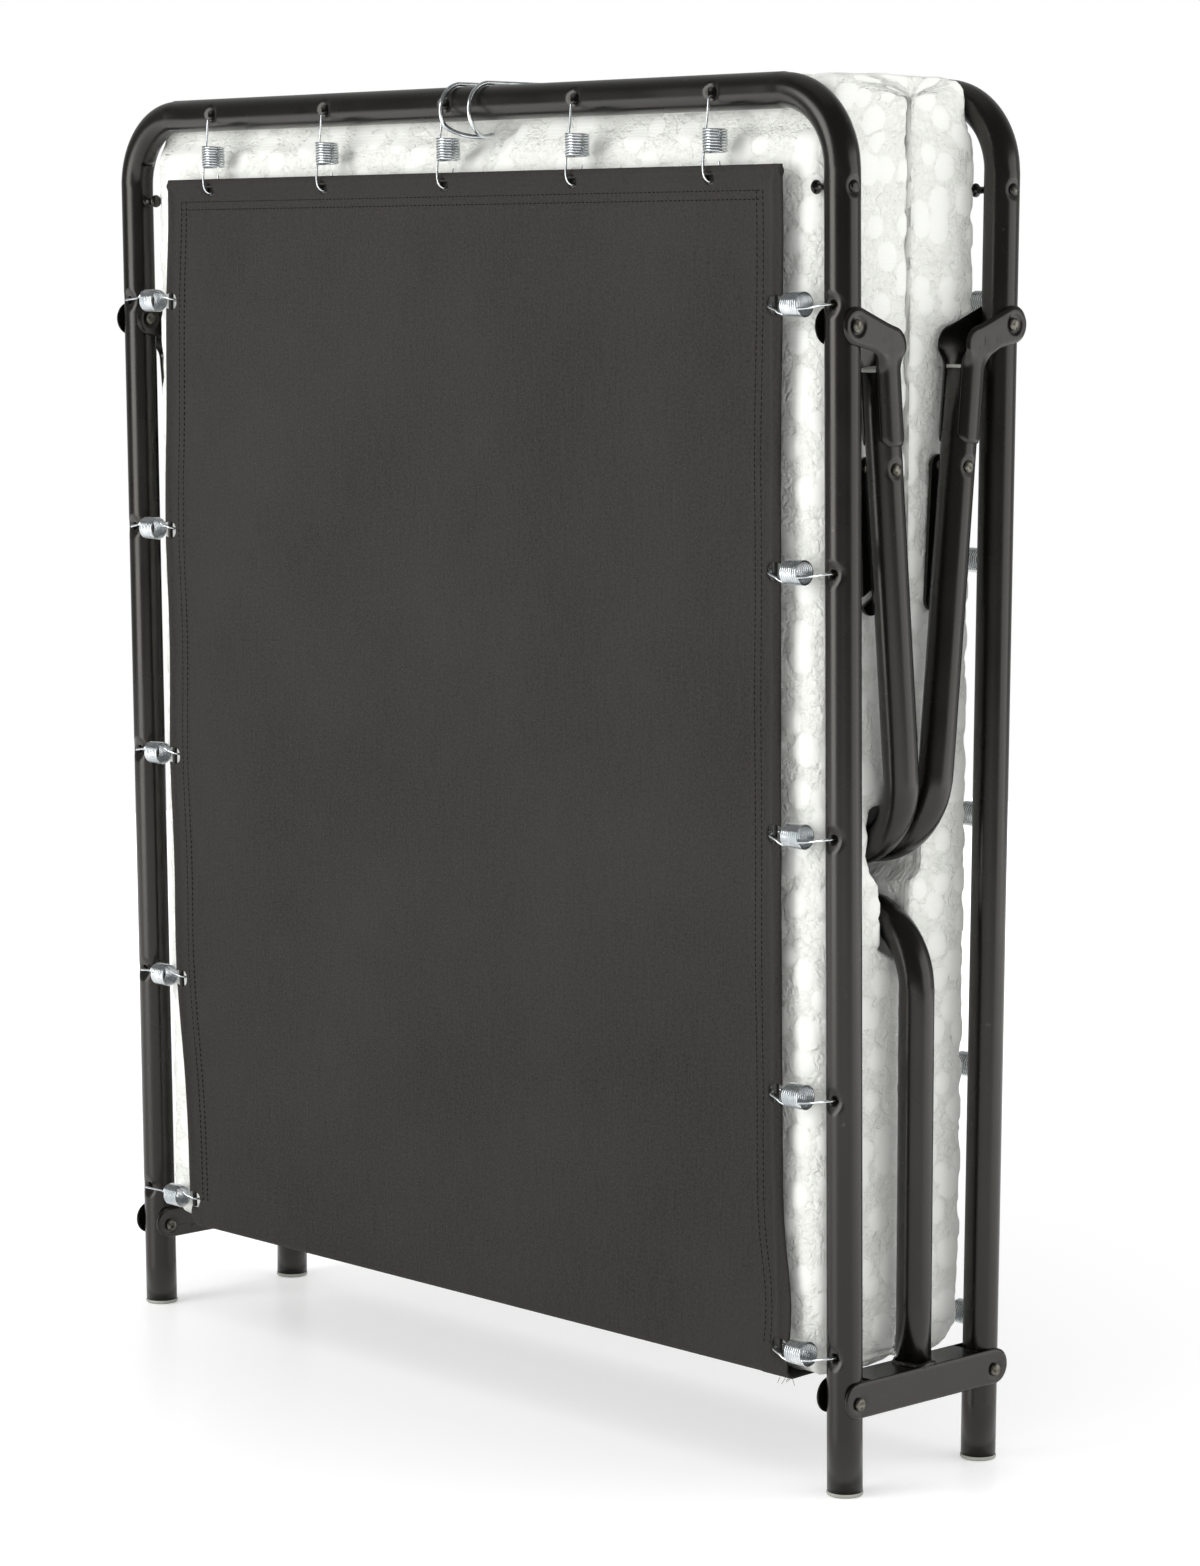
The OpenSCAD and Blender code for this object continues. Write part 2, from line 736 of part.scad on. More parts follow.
hinge_channel_left();
hinge_channel_right();
center_leg();
fold_rivets();
sheet_center();
front_frame_tube();
front_foot_caps();
front_springs();
front_hem_rods();
front_sheet();
front_stay_pegs();
front_leg_rivets();
back_frame_tube();
back_foot_caps();
back_springs();
back_hem_rods();
back_sheet();
back_stay_pegs();
back_leg_rivets();
front_leg_tube();
front_leg_brackets();
front_leg_plugs();
front_stay_rivets();
back_leg_tube();
back_leg_brackets();
back_leg_plugs();
back_stay_rivets();
front_stay_left();
front_stay_right();
back_stay_left();
back_stay_right();
latch_wire();
mattress();
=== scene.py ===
"""A folding cot, standing folded, with its foam mattress stored between the two halves."""

import bpy
import bmesh
import math
import random
from mathutils import Matrix, Vector, noise

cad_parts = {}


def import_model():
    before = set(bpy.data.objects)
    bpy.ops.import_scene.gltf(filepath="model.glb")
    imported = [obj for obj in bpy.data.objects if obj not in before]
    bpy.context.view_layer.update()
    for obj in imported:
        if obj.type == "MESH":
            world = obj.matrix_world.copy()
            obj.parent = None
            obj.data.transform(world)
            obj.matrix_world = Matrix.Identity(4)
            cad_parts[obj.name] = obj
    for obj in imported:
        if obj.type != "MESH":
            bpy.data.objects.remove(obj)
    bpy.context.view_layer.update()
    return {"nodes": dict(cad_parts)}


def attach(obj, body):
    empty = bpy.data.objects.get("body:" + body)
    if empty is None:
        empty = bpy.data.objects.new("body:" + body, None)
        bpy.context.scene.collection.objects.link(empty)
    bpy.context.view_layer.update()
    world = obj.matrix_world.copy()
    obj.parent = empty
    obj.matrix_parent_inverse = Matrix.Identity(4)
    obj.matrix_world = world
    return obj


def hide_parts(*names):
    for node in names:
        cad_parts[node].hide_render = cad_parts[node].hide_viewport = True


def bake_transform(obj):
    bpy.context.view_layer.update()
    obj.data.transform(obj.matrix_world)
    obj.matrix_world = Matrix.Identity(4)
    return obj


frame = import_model()

# Sizes in metres: X across the bed, Y from front to back, Z up. A rise, a drop, a top and a pitch are
# measured in a half's own frame, where its fold rivet is the origin and it stands upright.
POST_X = 0.3875
TUBE_R = 0.0125
BEND_R = 0.054
BAR_RISE = 0.897
SPLAY = math.radians(0.7)
FOLD_Y = 0.0698
FOLD_Z = 0.0666
FOOT_LOW = 0.003 - FOLD_Z / math.cos(SPLAY)
LEG_RISE = 0.739
LEG_OFFSET = 0.0335
LEG_DROP = 0.368
LEG_LEAN = math.radians(4.4)
LEG_END = 0.0335
STAY_DROP = 0.1005
PEG_RISE = 0.0926
CENTER_LEG_Z = 0.4
WEB_TOP = 0.0815
SHEET_Y = 0.0138
ROD_X = 0.337
ROD_TOP = 0.8425
SPRING_RISE = 0.0319
SPRING_PITCH = 0.1804
TOP_PITCH = 0.138
BAR_Y = 0.080759
LATCH_Z = 0.958633
LATCH_R = 0.0193
LATCH_X = 0.019
FRONT, BACK = -1, 1
ENDS = (-1, 1)
NAMES = {FRONT: "front", BACK: "back"}
SPRING_RISES = [SPRING_RISE + SPRING_PITCH * i for i in range(5)]
TOP_SPRINGS = [TOP_PITCH * i for i in range(-2, 3)]


# ---------------------------------------------------------------- frames of the moving halves

def half(side):
    """From a half's own frame, with -Y outward, to the cot's."""
    place = Matrix.Translation((0, -FOLD_Y, FOLD_Z)) @ Matrix.Rotation(SPLAY, 4, "X")
    return place if side == FRONT else Matrix.Diagonal((1, -1, 1, 1)) @ place


def leg(side):
    """From a leg's own frame, with its pivot at the origin and the leg pointing down."""
    return half(side) @ Matrix.Translation((0, 0, LEG_RISE)) @ Matrix.Rotation(LEG_LEAN, 4, "X")


# ---------------------------------------------------------------- mesh helpers

def linked(name, data):
    """A new object in the scene that shows the data."""
    obj = bpy.data.objects.new(name, data)
    bpy.context.scene.collection.objects.link(obj)
    return obj


def piece(name, verts, faces, material, place=None, smooth=True):
    """A mesh object from points and faces, with faces that point outwards."""
    mesh = bpy.data.meshes.new(name)
    mesh.from_pydata([tuple(v) for v in verts], [], faces)
    if place is not None:
        mesh.transform(place)
        if place.determinant() < 0:
            mesh.flip_normals()
    mesh.validate()
    if smooth:
        mesh.shade_smooth()
    mesh.materials.append(material)
    return linked(name, mesh)


def join(name, parts):
    """Joins pieces into one object of the first one's material."""
    shapes = bmesh.new()
    for part in parts:
        shapes.from_mesh(part.data)
    mesh = parts[0].data.copy()
    shapes.to_mesh(mesh)
    shapes.free()
    for part in parts:
        bpy.data.objects.remove(part)
    mesh.name = name
    return linked(name, mesh)


def bake(obj):
    """Applies an object's modifiers to its mesh."""
    graph = bpy.context.evaluated_depsgraph_get()
    mesh = bpy.data.meshes.new_from_object(obj.evaluated_get(graph))
    obj.modifiers.clear()
    obj.data = mesh
    return obj


def dress(obj, body, slot, *nodes):
    """Puts a piece on its body, in place of the CAD nodes it stands for. Its slot is not used."""
    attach(obj, body)
    if nodes:
        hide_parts(*nodes)
    return obj


def spaced(values, least):
    """The values, in order, without those that lie closer than the least gap to the one kept before."""
    kept = [values[0]]
    for value in values:
        if abs(value - kept[-1]) > least:
            kept.append(value)
    return kept


def ring_faces(first, second, sides):
    """The band of faces between two rings of points, given the number of each ring's first point."""
    return [(first + i, first + (i + 1) % sides, second + (i + 1) % sides, second + i)
            for i in range(sides)]


def through_rings(rings, closed=False):
    """Points and faces of a solid through rings of points, closed to a loop or with flat ends."""
    sides = len(rings[0])
    verts = [vert for ring in rings for vert in ring]
    last = (len(rings) - 1) * sides
    faces = []
    for first in range(0, last, sides):
        faces += ring_faces(first, first + sides, sides)
    if closed:
        faces += ring_faces(last, 0, sides)
    else:
        faces.append(tuple(range(sides - 1, -1, -1)))
        faces.append(tuple(range(last, last + sides)))
    return verts, faces


def sweep(points, radius, sides, start=(0, 1, 0), shape=None, closed=False):
    """A round bar along a line of points. shape moves each surface point, given its axis point."""
    count = len(points)
    rings = []
    normal = Vector(start)
    for i, point in enumerate(points):
        before = points[i - 1] if i or closed else point
        after = points[(i + 1) % count] if i + 1 < count or closed else point
        along = (after - before).normalized()
        normal = (normal - along * normal.dot(along)).normalized()
        across = along.cross(normal)
        ring = []
        for k in range(sides):
            turn = 2 * math.pi * k / sides
            vert = point + radius * (normal * math.cos(turn) + across * math.sin(turn))
            ring.append(shape(point, vert) if shape else vert)
        rings.append(ring)
    return through_rings(rings, closed)


def to_outline(distance, a, b, step):
    """Moves a place (a, b) to where its signed distance is nought. step is for the slope."""
    for _ in range(3):
        away = distance(a, b)
        slope_a = (distance(a + step, b) - distance(a - step, b)) / (2 * step)
        slope_b = (distance(a, b + step) - distance(a, b - step)) / (2 * step)
        share = away / (slope_a ** 2 + slope_b ** 2 or 1.0)
        a -= slope_a * share
        b -= slope_b * share
    return a, b


def cut_shell(grid, distance, step, surface):
    """Points and faces of a shell with two faces, cut to an outline and holes. grid[i][j] is a place,
    distance is negative where there is material, and surface gives the point of a face (1 or -1) at a
    place, its row j and whether it is on the rim."""
    last_i, last_j = len(grid) - 1, len(grid[0]) - 1
    kept = set()
    for i in range(last_i):
        for j in range(last_j):
            near, far = grid[i][j], grid[i + 1][j + 1]
            if distance((near[0] + far[0]) / 2, (near[1] + far[1]) / 2) < 0:
                kept.add((i, j))
    verts, numbers, faces = [], {}, []
    for i in range(last_i + 1):
        for j in range(last_j + 1):
            around = [cell in kept for cell in ((i, j), (i - 1, j), (i, j - 1), (i - 1, j - 1))]
            if not any(around):
                continue
            a, b = grid[i][j]
            cut = not all(around)
            if cut and 0 < i < last_i and 0 < j < last_j:
                a, b = to_outline(distance, a, b, step)
            rim = i in (0, last_i) or cut and j < last_j
            for face in (1, -1):
                numbers[face, i, j] = len(verts)
                verts.append(surface(face, a, b, j, rim))
    for i, j in sorted(kept):
        ring = ((i, j), (i + 1, j), (i + 1, j + 1), (i, j + 1))
        faces.append([numbers[(1,) + corner] for corner in ring])
        faces.append([numbers[(-1,) + corner] for corner in reversed(ring)])
        for k, beside in enumerate(((i, j - 1), (i + 1, j), (i, j + 1), (i - 1, j))):
            if beside not in kept:
                a, b = ring[k], ring[(k + 1) % 4]
                faces.append([numbers[(1,) + b], numbers[(1,) + a],
                              numbers[(-1,) + a], numbers[(-1,) + b]])
    return verts, faces


def turned(profile, sides=32):
    """A solid turned about Z from (radius, height) points that start and end on the axis."""
    verts, faces = [], []
    for radius, height in profile[1:-1]:
        for k in range(sides):
            turn = 2 * math.pi * k / sides
            verts.append(Vector((radius * math.cos(turn), radius * math.sin(turn), height)))
    rings = len(profile) - 2
    for i in range(1, rings):
        faces += ring_faces((i - 1) * sides, i * sides, sides)
    for ring, end, flip in ((0, profile[0], True), (rings - 1, profile[-1], False)):
        verts.append(Vector((0, 0, end[1])))
        tip = len(verts) - 1
        for k in range(sides):
            a, b = ring * sides + k, ring * sides + (k + 1) % sides
            faces.append((b, a, tip) if flip else (a, b, tip))
    return verts, faces


def smoothstep(low, high, value):
    """0 up to low, 1 from high, and a smooth step between; low may be the larger."""
    t = min(1.0, max(0.0, (value - low) / (high - low)))
    return t * t * (3 - 2 * t)


# ---------------------------------------------------------------- materials

def linear(code):
    """The linear colour of an sRGB hex value."""
    parts = [int(code[i:i + 2], 16) / 255 for i in (1, 3, 5)]
    return tuple(c / 12.92 if c <= 0.04045 else ((c + 0.055) / 1.055) ** 2.4 for c in parts) + (1.0,)


def add(tree, kind, inputs=None, **settings):
    """Adds a node with its settings. inputs gives a socket, by name or number, a value, an output or
    a node whose first output in use feeds it. Of a Mix of colours, 0 is the factor and 6 and 7 are
    the colours. Of a Map Range, 0 is the value, 1 and 2 its own range and 3 and 4 the new one."""
    node = tree.nodes.new(kind)
    for key, value in settings.items():
        setattr(node, key, value)
    for key, value in (inputs or {}).items():
        if isinstance(value, bpy.types.Node):
            value = next(output for output in value.outputs if output.enabled)
        if isinstance(value, bpy.types.NodeSocket):
            tree.links.new(value, node.inputs[key])
        else:
            node.inputs[key].default_value = value
    return node


def new_material(name):
    """A material with an empty node tree: (material, tree, object coordinates)."""
    material = bpy.data.materials.new(name)
    material.use_nodes = True
    tree = material.node_tree
    tree.nodes.clear()
    return material, tree, add(tree, "ShaderNodeTexCoord").outputs["Object"]


def black_enamel():
    """Stoved black enamel on steel. It gives the eye a near-black, satin skin with soft warm bands of
    light, a faint orange peel and a few rubbed flecks."""
    material, tree, where = new_material("black_enamel")
    cloud = add(tree, "ShaderNodeTexNoise", {"Vector": where, "Scale": 20.0})
    flecks = add(tree, "ShaderNodeTexNoise", {"Vector": where, "Scale": 130.0, "Detail": 4.0})
    rubbed = add(tree, "ShaderNodeMapRange", {0: flecks, 1: 0.71, 2: 0.8, 3: 0.0, 4: 0.35})
    tone = add(tree, "ShaderNodeMix", {0: cloud, 6: linear("#070706"), 7: linear("#0c0b0a")},
               data_type="RGBA")
    worn = add(tree, "ShaderNodeMix", {0: rubbed, 6: tone, 7: linear("#5a574f")}, data_type="RGBA")
    gloss = add(tree, "ShaderNodeMapRange", {0: cloud, 1: 0.3, 2: 0.7, 3: 0.24, 4: 0.3})
    peel = add(tree, "ShaderNodeTexNoise", {"Vector": where, "Scale": 500.0})
    skin = add(tree, "ShaderNodeBump", {"Height": peel, "Distance": 0.00002})
    shader = add(tree, "ShaderNodeBsdfPrincipled", {"Base Color": worn, "Roughness": gloss, "Normal": skin,
                                                    "Specular IOR Level": 0.5,
                                                    "Specular Tint": linear("#fffaf2")})
    add(tree, "ShaderNodeOutputMaterial", {"Surface": shader})
    return material


def zinc_wire():
    """Zinc-plated spring wire. It gives the eye a bright, slightly blue metal with darker, duller
    patches along the wire."""
    material, tree, where = new_material("zinc_wire")
    patches = add(tree, "ShaderNodeTexNoise", {"Vector": where, "Scale": 90.0})
    spread = add(tree, "ShaderNodeMapRange", {0: patches, 1: 0.35, 2: 0.65})
    tone = add(tree, "ShaderNodeMix", {0: spread, 6: linear("#bcc2c5"), 7: linear("#e6e9ea")},
               data_type="RGBA")
    gloss = add(tree, "ShaderNodeMapRange", {0: spread, 3: 0.3, 4: 0.2})
    shader = add(tree, "ShaderNodeBsdfPrincipled", {"Base Color": tone, "Roughness": gloss,
                                                    "Metallic": 1.0})
    add(tree, "ShaderNodeOutputMaterial", {"Surface": shader})
    return material


def rivet_steel():
    """Set steel rivets. They give the eye a dull grey face, rubbed bright in places, with paint left in
    its hollows."""
    material, tree, where = new_material("rivet_steel")
    rub = add(tree, "ShaderNodeTexNoise", {"Vector": where, "Scale": 330.0, "Detail": 3.0})
    worn = add(tree, "ShaderNodeMapRange", {0: rub, 1: 0.35, 2: 0.6})
    tone = add(tree, "ShaderNodeMix", {0: worn, 6: linear("#38372f"), 7: linear("#737168")},
               data_type="RGBA")
    gloss = add(tree, "ShaderNodeMapRange", {0: worn, 3: 0.5, 4: 0.34})
    dents = add(tree, "ShaderNodeTexNoise", {"Vector": where, "Scale": 800.0})
    skin = add(tree, "ShaderNodeBump", {"Height": dents, "Distance": 0.00004})
    shader = add(tree, "ShaderNodeBsdfPrincipled", {"Base Color": tone, "Roughness": gloss, "Normal": skin,
                                                    "Metallic": 0.8})
    add(tree, "ShaderNodeOutputMaterial", {"Surface": shader})
    return material


def cap_plastic():
    """Moulded grey polypropylene. It gives the eye a matt mid grey, mottled where it is scuffed."""
    material, tree, where = new_material("cap_plastic")
    scuffs = add(tree, "ShaderNodeTexNoise", {"Vector": where, "Scale": 160.0, "Detail": 4.0})
    tone = add(tree, "ShaderNodeMix", {0: scuffs, 6: linear("#85867f"), 7: linear("#a9aaa3")},
               data_type="RGBA")
    pits = add(tree, "ShaderNodeTexNoise", {"Vector": where, "Scale": 1100.0})
    skin = add(tree, "ShaderNodeBump", {"Height": pits, "Distance": 0.00003})
    shader = add(tree, "ShaderNodeBsdfPrincipled", {"Base Color": tone, "Roughness": 0.5, "Normal": skin,
                                                    "Specular IOR Level": 0.4})
    add(tree, "ShaderNodeOutputMaterial", {"Surface": shader})
    return material


def dark_rod():
    """Black-oiled steel rod. It gives the eye a dark rod with a narrow, soft gloss."""
    material, tree, where = new_material("dark_rod")
    oil = add(tree, "ShaderNodeTexNoise", {"Vector": where, "Scale": 200.0})
    tone = add(tree, "ShaderNodeMix", {0: oil, 6: linear("#141413"), 7: linear("#30302e")},
               data_type="RGBA")
    shader = add(tree, "ShaderNodeBsdfPrincipled", {"Base Color": tone, "Roughness": 0.38,
                                                    "Metallic": 0.6})
    add(tree, "ShaderNodeOutputMaterial", {"Surface": shader})
    return material


def sheet_thread():
    """Black polyester sewing thread. It gives the eye dark stitches with a slight lustre."""
    material, tree, where = new_material("sheet_thread")
    fibres = add(tree, "ShaderNodeTexNoise", {"Vector": where, "Scale": 500.0})
    tone = add(tree, "ShaderNodeMix", {0: fibres, 6: linear("#070605"), 7: linear("#131110")},
               data_type="RGBA")
    shader = add(tree, "ShaderNodeBsdfPrincipled", {"Base Color": tone, "Roughness": 0.75,
                                                    "Specular IOR Level": 0.15})
    add(tree, "ShaderNodeOutputMaterial", {"Surface": shader})
    return material


def woven_sheet():
    """Polyester sheeting in a plain weave of 1.1 mm. It gives the eye a matt charcoal cloth with fine
    threads both ways, uneven upright yarns and faint clouding."""
    material, tree, _ = new_material("woven_sheet")
    where = add(tree, "ShaderNodeAttribute", attribute_name="cloth_place").outputs["Vector"]
    parts = add(tree, "ShaderNodeSeparateXYZ", {0: where}).outputs
    weave = 0.0011
    turns = math.pi / weave
    warp_turn = add(tree, "ShaderNodeMath", {0: parts[0], 1: turns}, operation="MULTIPLY")
    weft_turn = add(tree, "ShaderNodeMath", {0: parts[2], 1: turns}, operation="MULTIPLY")
    warp = add(tree, "ShaderNodeMath", {0: warp_turn}, operation="SINE")
    weft = add(tree, "ShaderNodeMath", {0: weft_turn}, operation="SINE")
    over = add(tree, "ShaderNodeMath", {0: warp, 1: weft}, operation="MULTIPLY")
    long_yarns = add(tree, "ShaderNodeMapping", {"Vector": where, "Scale": (1.0, 1.0, 0.05)})
    streaks = add(tree, "ShaderNodeTexNoise", {"Vector": long_yarns, "Scale": 600.0, "Detail": 3.0})
    streak = add(tree, "ShaderNodeMapRange", {0: streaks, 1: 0.3, 2: 0.7})
    grains = add(tree, "ShaderNodeTexNoise", {"Vector": where, "Scale": 450.0, "Detail": 2.0})
    grain = add(tree, "ShaderNodeMapRange", {0: grains, 1: 0.3, 2: 0.7})
    clouds = add(tree, "ShaderNodeTexNoise", {"Vector": where, "Scale": 6.0, "Detail": 3.0})
    cloud = add(tree, "ShaderNodeMapRange", {0: clouds, 1: 0.35, 2: 0.65, 3: 0.0, 4: 0.35})
    yarn = add(tree, "ShaderNodeMix", {0: streak, 6: linear("#222120"), 7: linear("#2f2d2b")},
               data_type="RGBA")
    cloth = add(tree, "ShaderNodeMix", {0: grain, 6: yarn, 7: linear("#343230")}, data_type="RGBA")
    tone = add(tree, "ShaderNodeMix", {0: cloud, 6: cloth, 7: linear("#3a3835")}, data_type="RGBA")
    thread = add(tree, "ShaderNodeBump", {"Height": over, "Distance": 0.00014, "Strength": 0.6})
    shader = add(tree, "ShaderNodeBsdfPrincipled", {"Base Color": tone, "Roughness": 0.9, "Normal": thread,
                                                    "Specular IOR Level": 0.12, "Sheen Weight": 0.03})
    add(tree, "ShaderNodeOutputMaterial", {"Surface": shader})
    return material


def quilted_discs(tree, where):
    """The cover's quilted discs, 13 to 24 mm wide, as 1 on a disc and 0 on the ground between."""
    cells = add(tree, "ShaderNodeTexVoronoi", {"Vector": where, "Scale": 36.0, "Randomness": 0.85},
                voronoi_dimensions="2D", feature="F1").outputs
    pick = add(tree, "ShaderNodeSeparateXYZ", {0: cells["Color"]})
    radius = add(tree, "ShaderNodeMapRange", {0: pick, 3: 0.24, 4: 0.42})
    inside = add(tree, "ShaderNodeMath", {0: radius, 1: cells["Distance"]}, operation="SUBTRACT")
    return add(tree, "ShaderNodeMapRange", {0: inside, 1: -0.05, 2: 0.06}, interpolation_type="SMOOTHSTEP")


def knit_cover():
    """Double-knit mattress cover. It gives the eye a soft white knit with smooth raised discs, and
    puckered, crumpled cloth between them, greyed with painted shade where it crumples most."""
    material, tree, _ = new_material("knit_cover")
    where = add(tree, "ShaderNodeAttribute", attribute_name="cover_place").outputs["Vector"]
    disc = quilted_discs(tree, where)
    ground = add(tree, "ShaderNodeMath", {0: 1.0, 1: disc}, operation="SUBTRACT")
    puckers = add(tree, "ShaderNodeTexNoise", {"Vector": where, "Scale": 210.0, "Detail": 4.0,
                                               "Distortion": 0.8})
    crumple = add(tree, "ShaderNodeMath", {0: puckers, 1: ground}, operation="MULTIPLY")
    rows = add(tree, "ShaderNodeTexWave", {"Vector": where, "Scale": 110.0, "Distortion": 1.5,
                                           "Detail": 1.0}, bands_direction="Y")
    raised = add(tree, "ShaderNodeBump", {"Height": disc, "Distance": 0.0018, "Strength": 0.8})
    creased = add(tree, "ShaderNodeBump", {"Height": crumple, "Distance": 0.0032, "Strength": 0.85,
                                           "Normal": raised})
    knitted = add(tree, "ShaderNodeBump", {"Height": rows, "Distance": 0.00012, "Strength": 0.5,
                                           "Normal": creased})
    # Painted shade: the crumpled cloth between the discs is greyed, more where it crumples more.
    hollow = add(tree, "ShaderNodeMapRange", {0: crumple, 1: 0.3, 2: 0.55, 3: 0.0, 4: 0.6})
    tone = add(tree, "ShaderNodeMix", {0: hollow, 6: linear("#e7e8e3"), 7: linear("#dbdcd6")},
               data_type="RGBA")
    shader = add(tree, "ShaderNodeBsdfPrincipled", {"Base Color": tone, "Roughness": 0.9, "Normal": knitted,
                                                    "Specular IOR Level": 0.2, "Sheen Weight": 0.05})
    add(tree, "ShaderNodeOutputMaterial", {"Surface": shader})
    return material


ENAMEL = black_enamel()
ZINC = zinc_wire()
RIVET = rivet_steel()
PLASTIC = cap_plastic()
ROD = dark_rod()
THREAD = sheet_thread()
SHEETING = woven_sheet()
COVER = knit_cover()


# ---------------------------------------------------------------- bent tubes

def u_spans(low, high):
    """Lengths along an upside-down U tube: a straight, a bend and the bar."""
    return high - BEND_R - low, BEND_R * math.pi / 2, 2 * (POST_X - BEND_R)


def u_stations(low, high, dense):
    """Axis points of a U tube, from its left end, closer together in the bends and near the distances
    along it in dense."""
    straight, bend, bar = u_spans(low, high)
    total = 2 * straight + 2 * bend + bar
    coarse, fine, bend_steps = 0.03, 0.0009, 26
    marks = {0.0, total, straight, straight + bend, straight + bend + bar, total - straight}
    marks.update(i * coarse for i in range(int(total / coarse)))
    for first in (straight, straight + bend + bar):
        marks.update(first + bend * i / bend_steps for i in range(bend_steps + 1))
    for spot in dense:
        marks.update(spot + fine * i for i in range(-12, 13))
    marks = sorted(m for m in marks if 0 <= m <= total)
    return [u_point(s, low, high) for s in spaced(marks, 0.0004)]


def u_point(s, low, high):
    """The axis point at a distance along a U tube from its left end."""
    straight, bend, bar = u_spans(low, high)
    if s > straight + bend + bar / 2:
        mirrored = u_point(2 * straight + 2 * bend + bar - s, low, high)
        return Vector((-mirrored.x, 0, mirrored.z))
    if s <= straight:
        return Vector((-POST_X, 0, low + s))
    turn = (s - straight) / BEND_R
    if s <= straight + bend:
        return Vector((-POST_X + BEND_R * (1 - math.cos(turn)), 0, high - BEND_R * (1 - math.sin(turn))))
    return Vector((-POST_X + BEND_R + s - straight - bend, 0, high))


def u_distance(spot, low, high):
    """Distance along a U tube of a spot on a post or on the bar."""
    straight, bend, bar = u_spans(low, high)
    if abs(spot.z - high) < 1e-6:
        return straight + bend + spot.x + POST_X - BEND_R
    if spot.x < 0:
        return spot.z - low
    return 2 * straight + 2 * bend + bar - (spot.z - low)


# Dents in the tubes, as the dent's radius, its depth and the radius of the hole in it.
POST_HOLE = (0.0105, 0.0027, 0.0032)
TOP_HOLE = (0.0085, 0.0022, 0.0034)
PEG_SEAT = (0.0095, 0.0022, 0.0)
STAY_SEAT = (0.0095, 0.0024, 0.0)
HOLE_DEPTH = 0.006
BEND_FLAT, BEND_WIDE = 0.955, 1.03


def dented(dents, flatten_z):
    """A shape for sweep, with each dent given as (spot, inward, sizes). The bends, which lie above
    flatten_z, are a little flattened, as a bent tube is."""
    def shape(axis, vert):
        """Where a surface point goes, given its axis point."""
        moved = vert.copy()
        if axis.z > flatten_z and abs(axis.x) > POST_X - BEND_R:
            out = vert - axis
            moved = axis + Vector((out.x * BEND_FLAT, out.y * BEND_WIDE, out.z * BEND_FLAT))
        for spot, inward, (radius, depth, hole) in dents:
            away = vert - spot
            if away.length_squared > 4 * radius * radius or away.dot(inward) > radius:
                continue
            flat = (away - inward * away.dot(inward)).length
            if flat < radius:
                moved = moved + inward * depth * (1 - (flat / radius) ** 2) ** 2
            if flat < hole:
                moved = moved + inward * HOLE_DEPTH * (1 - (flat / hole) ** 3)
        return moved
    return shape


def bent_tube(name, low, high, dents, sides, place=None):
    """A U tube from the low ends of its posts up to its bar."""
    points = u_stations(low, high, [u_distance(dent[0], low, high) for dent in dents])
    verts, faces = sweep(points, TUBE_R, sides, shape=dented(dents, high - BEND_R))
    return piece(name, verts, faces, ENAMEL, place)


def outer_seat(end, z, sizes):
    """A dent in the outer side of a post, for a rivet's head."""
    return Vector((end * (POST_X + TUBE_R), 0, z)), Vector((-end, 0, 0)), sizes


def frame_tube(side):
    """One half's tube, dented and holed where the springs hook in and dented for the pegs."""
    inward = Vector((0, 1, 0))
    dents = []
    for end in ENDS:
        dents += [(Vector((end * POST_X, -TUBE_R, z)), inward, POST_HOLE) for z in SPRING_RISES]
        dents.append(outer_seat(end, LEG_RISE + PEG_RISE, PEG_SEAT))
    dents += [(Vector((x, -TUBE_R, BAR_RISE)), inward, TOP_HOLE) for x in TOP_SPRINGS]
    name = NAMES[side]
    tube = bent_tube(name + "_tube", FOOT_LOW, BAR_RISE, dents, 56, half(side))
    dress(tube, name + "_half", "black_steel", name + "_frame_tube")


def leg_tube(side):
    """The leg's U, the other way up, with a dent for each stay rivet."""
    dents = [outer_seat(end, STAY_DROP, STAY_SEAT) for end in ENDS]
    place = leg(side) @ Matrix.Translation((0, LEG_OFFSET, 0)) @ Matrix.Diagonal((1, 1, -1, 1))
    name = NAMES[side]
    tube = bent_tube(name + "_leg", LEG_END, LEG_DROP, dents, 48, place)
    dress(tube, name + "_leg", "black_steel", name + "_leg_tube")


def weld_bead(x):
    """The lumpy bead of weld round the foot of a centre leg tube."""
    points, around = [], 56
    for k in range(around):
        turn = 2 * math.pi * k / around
        reach = TUBE_R + 0.0006 + 0.0008 * math.sin(7 * turn + x * 90)
        points.append(Vector((x + reach * math.cos(turn), reach * math.sin(turn),
                              WEB_TOP + 0.0006 + 0.0006 * math.cos(5 * turn))))

    def lumps(axis, vert):
        """Where a surface point goes, given its axis point."""
        return axis + (vert - axis) * (1 + 0.25 * noise.noise(vert * 420))
    return sweep(points, 0.0021, 12, start=(0, 0, 1), shape=lumps, closed=True)


def center_leg():
    """The middle leg, a U tube welded to the webs of the two hinge channels."""
    parts = [bent_tube("center_tube", WEB_TOP, CENTER_LEG_Z, [], 48)]
    parts += [piece("bead", *weld_bead(end * POST_X), ENAMEL) for end in ENDS]
    dress(join("center_leg_tube", parts), "hinge_center", "black_steel", "center_leg")


for side in (FRONT, BACK):
    frame_tube(side)
    leg_tube(side)
center_leg()


# ---------------------------------------------------------------- geometry nodes

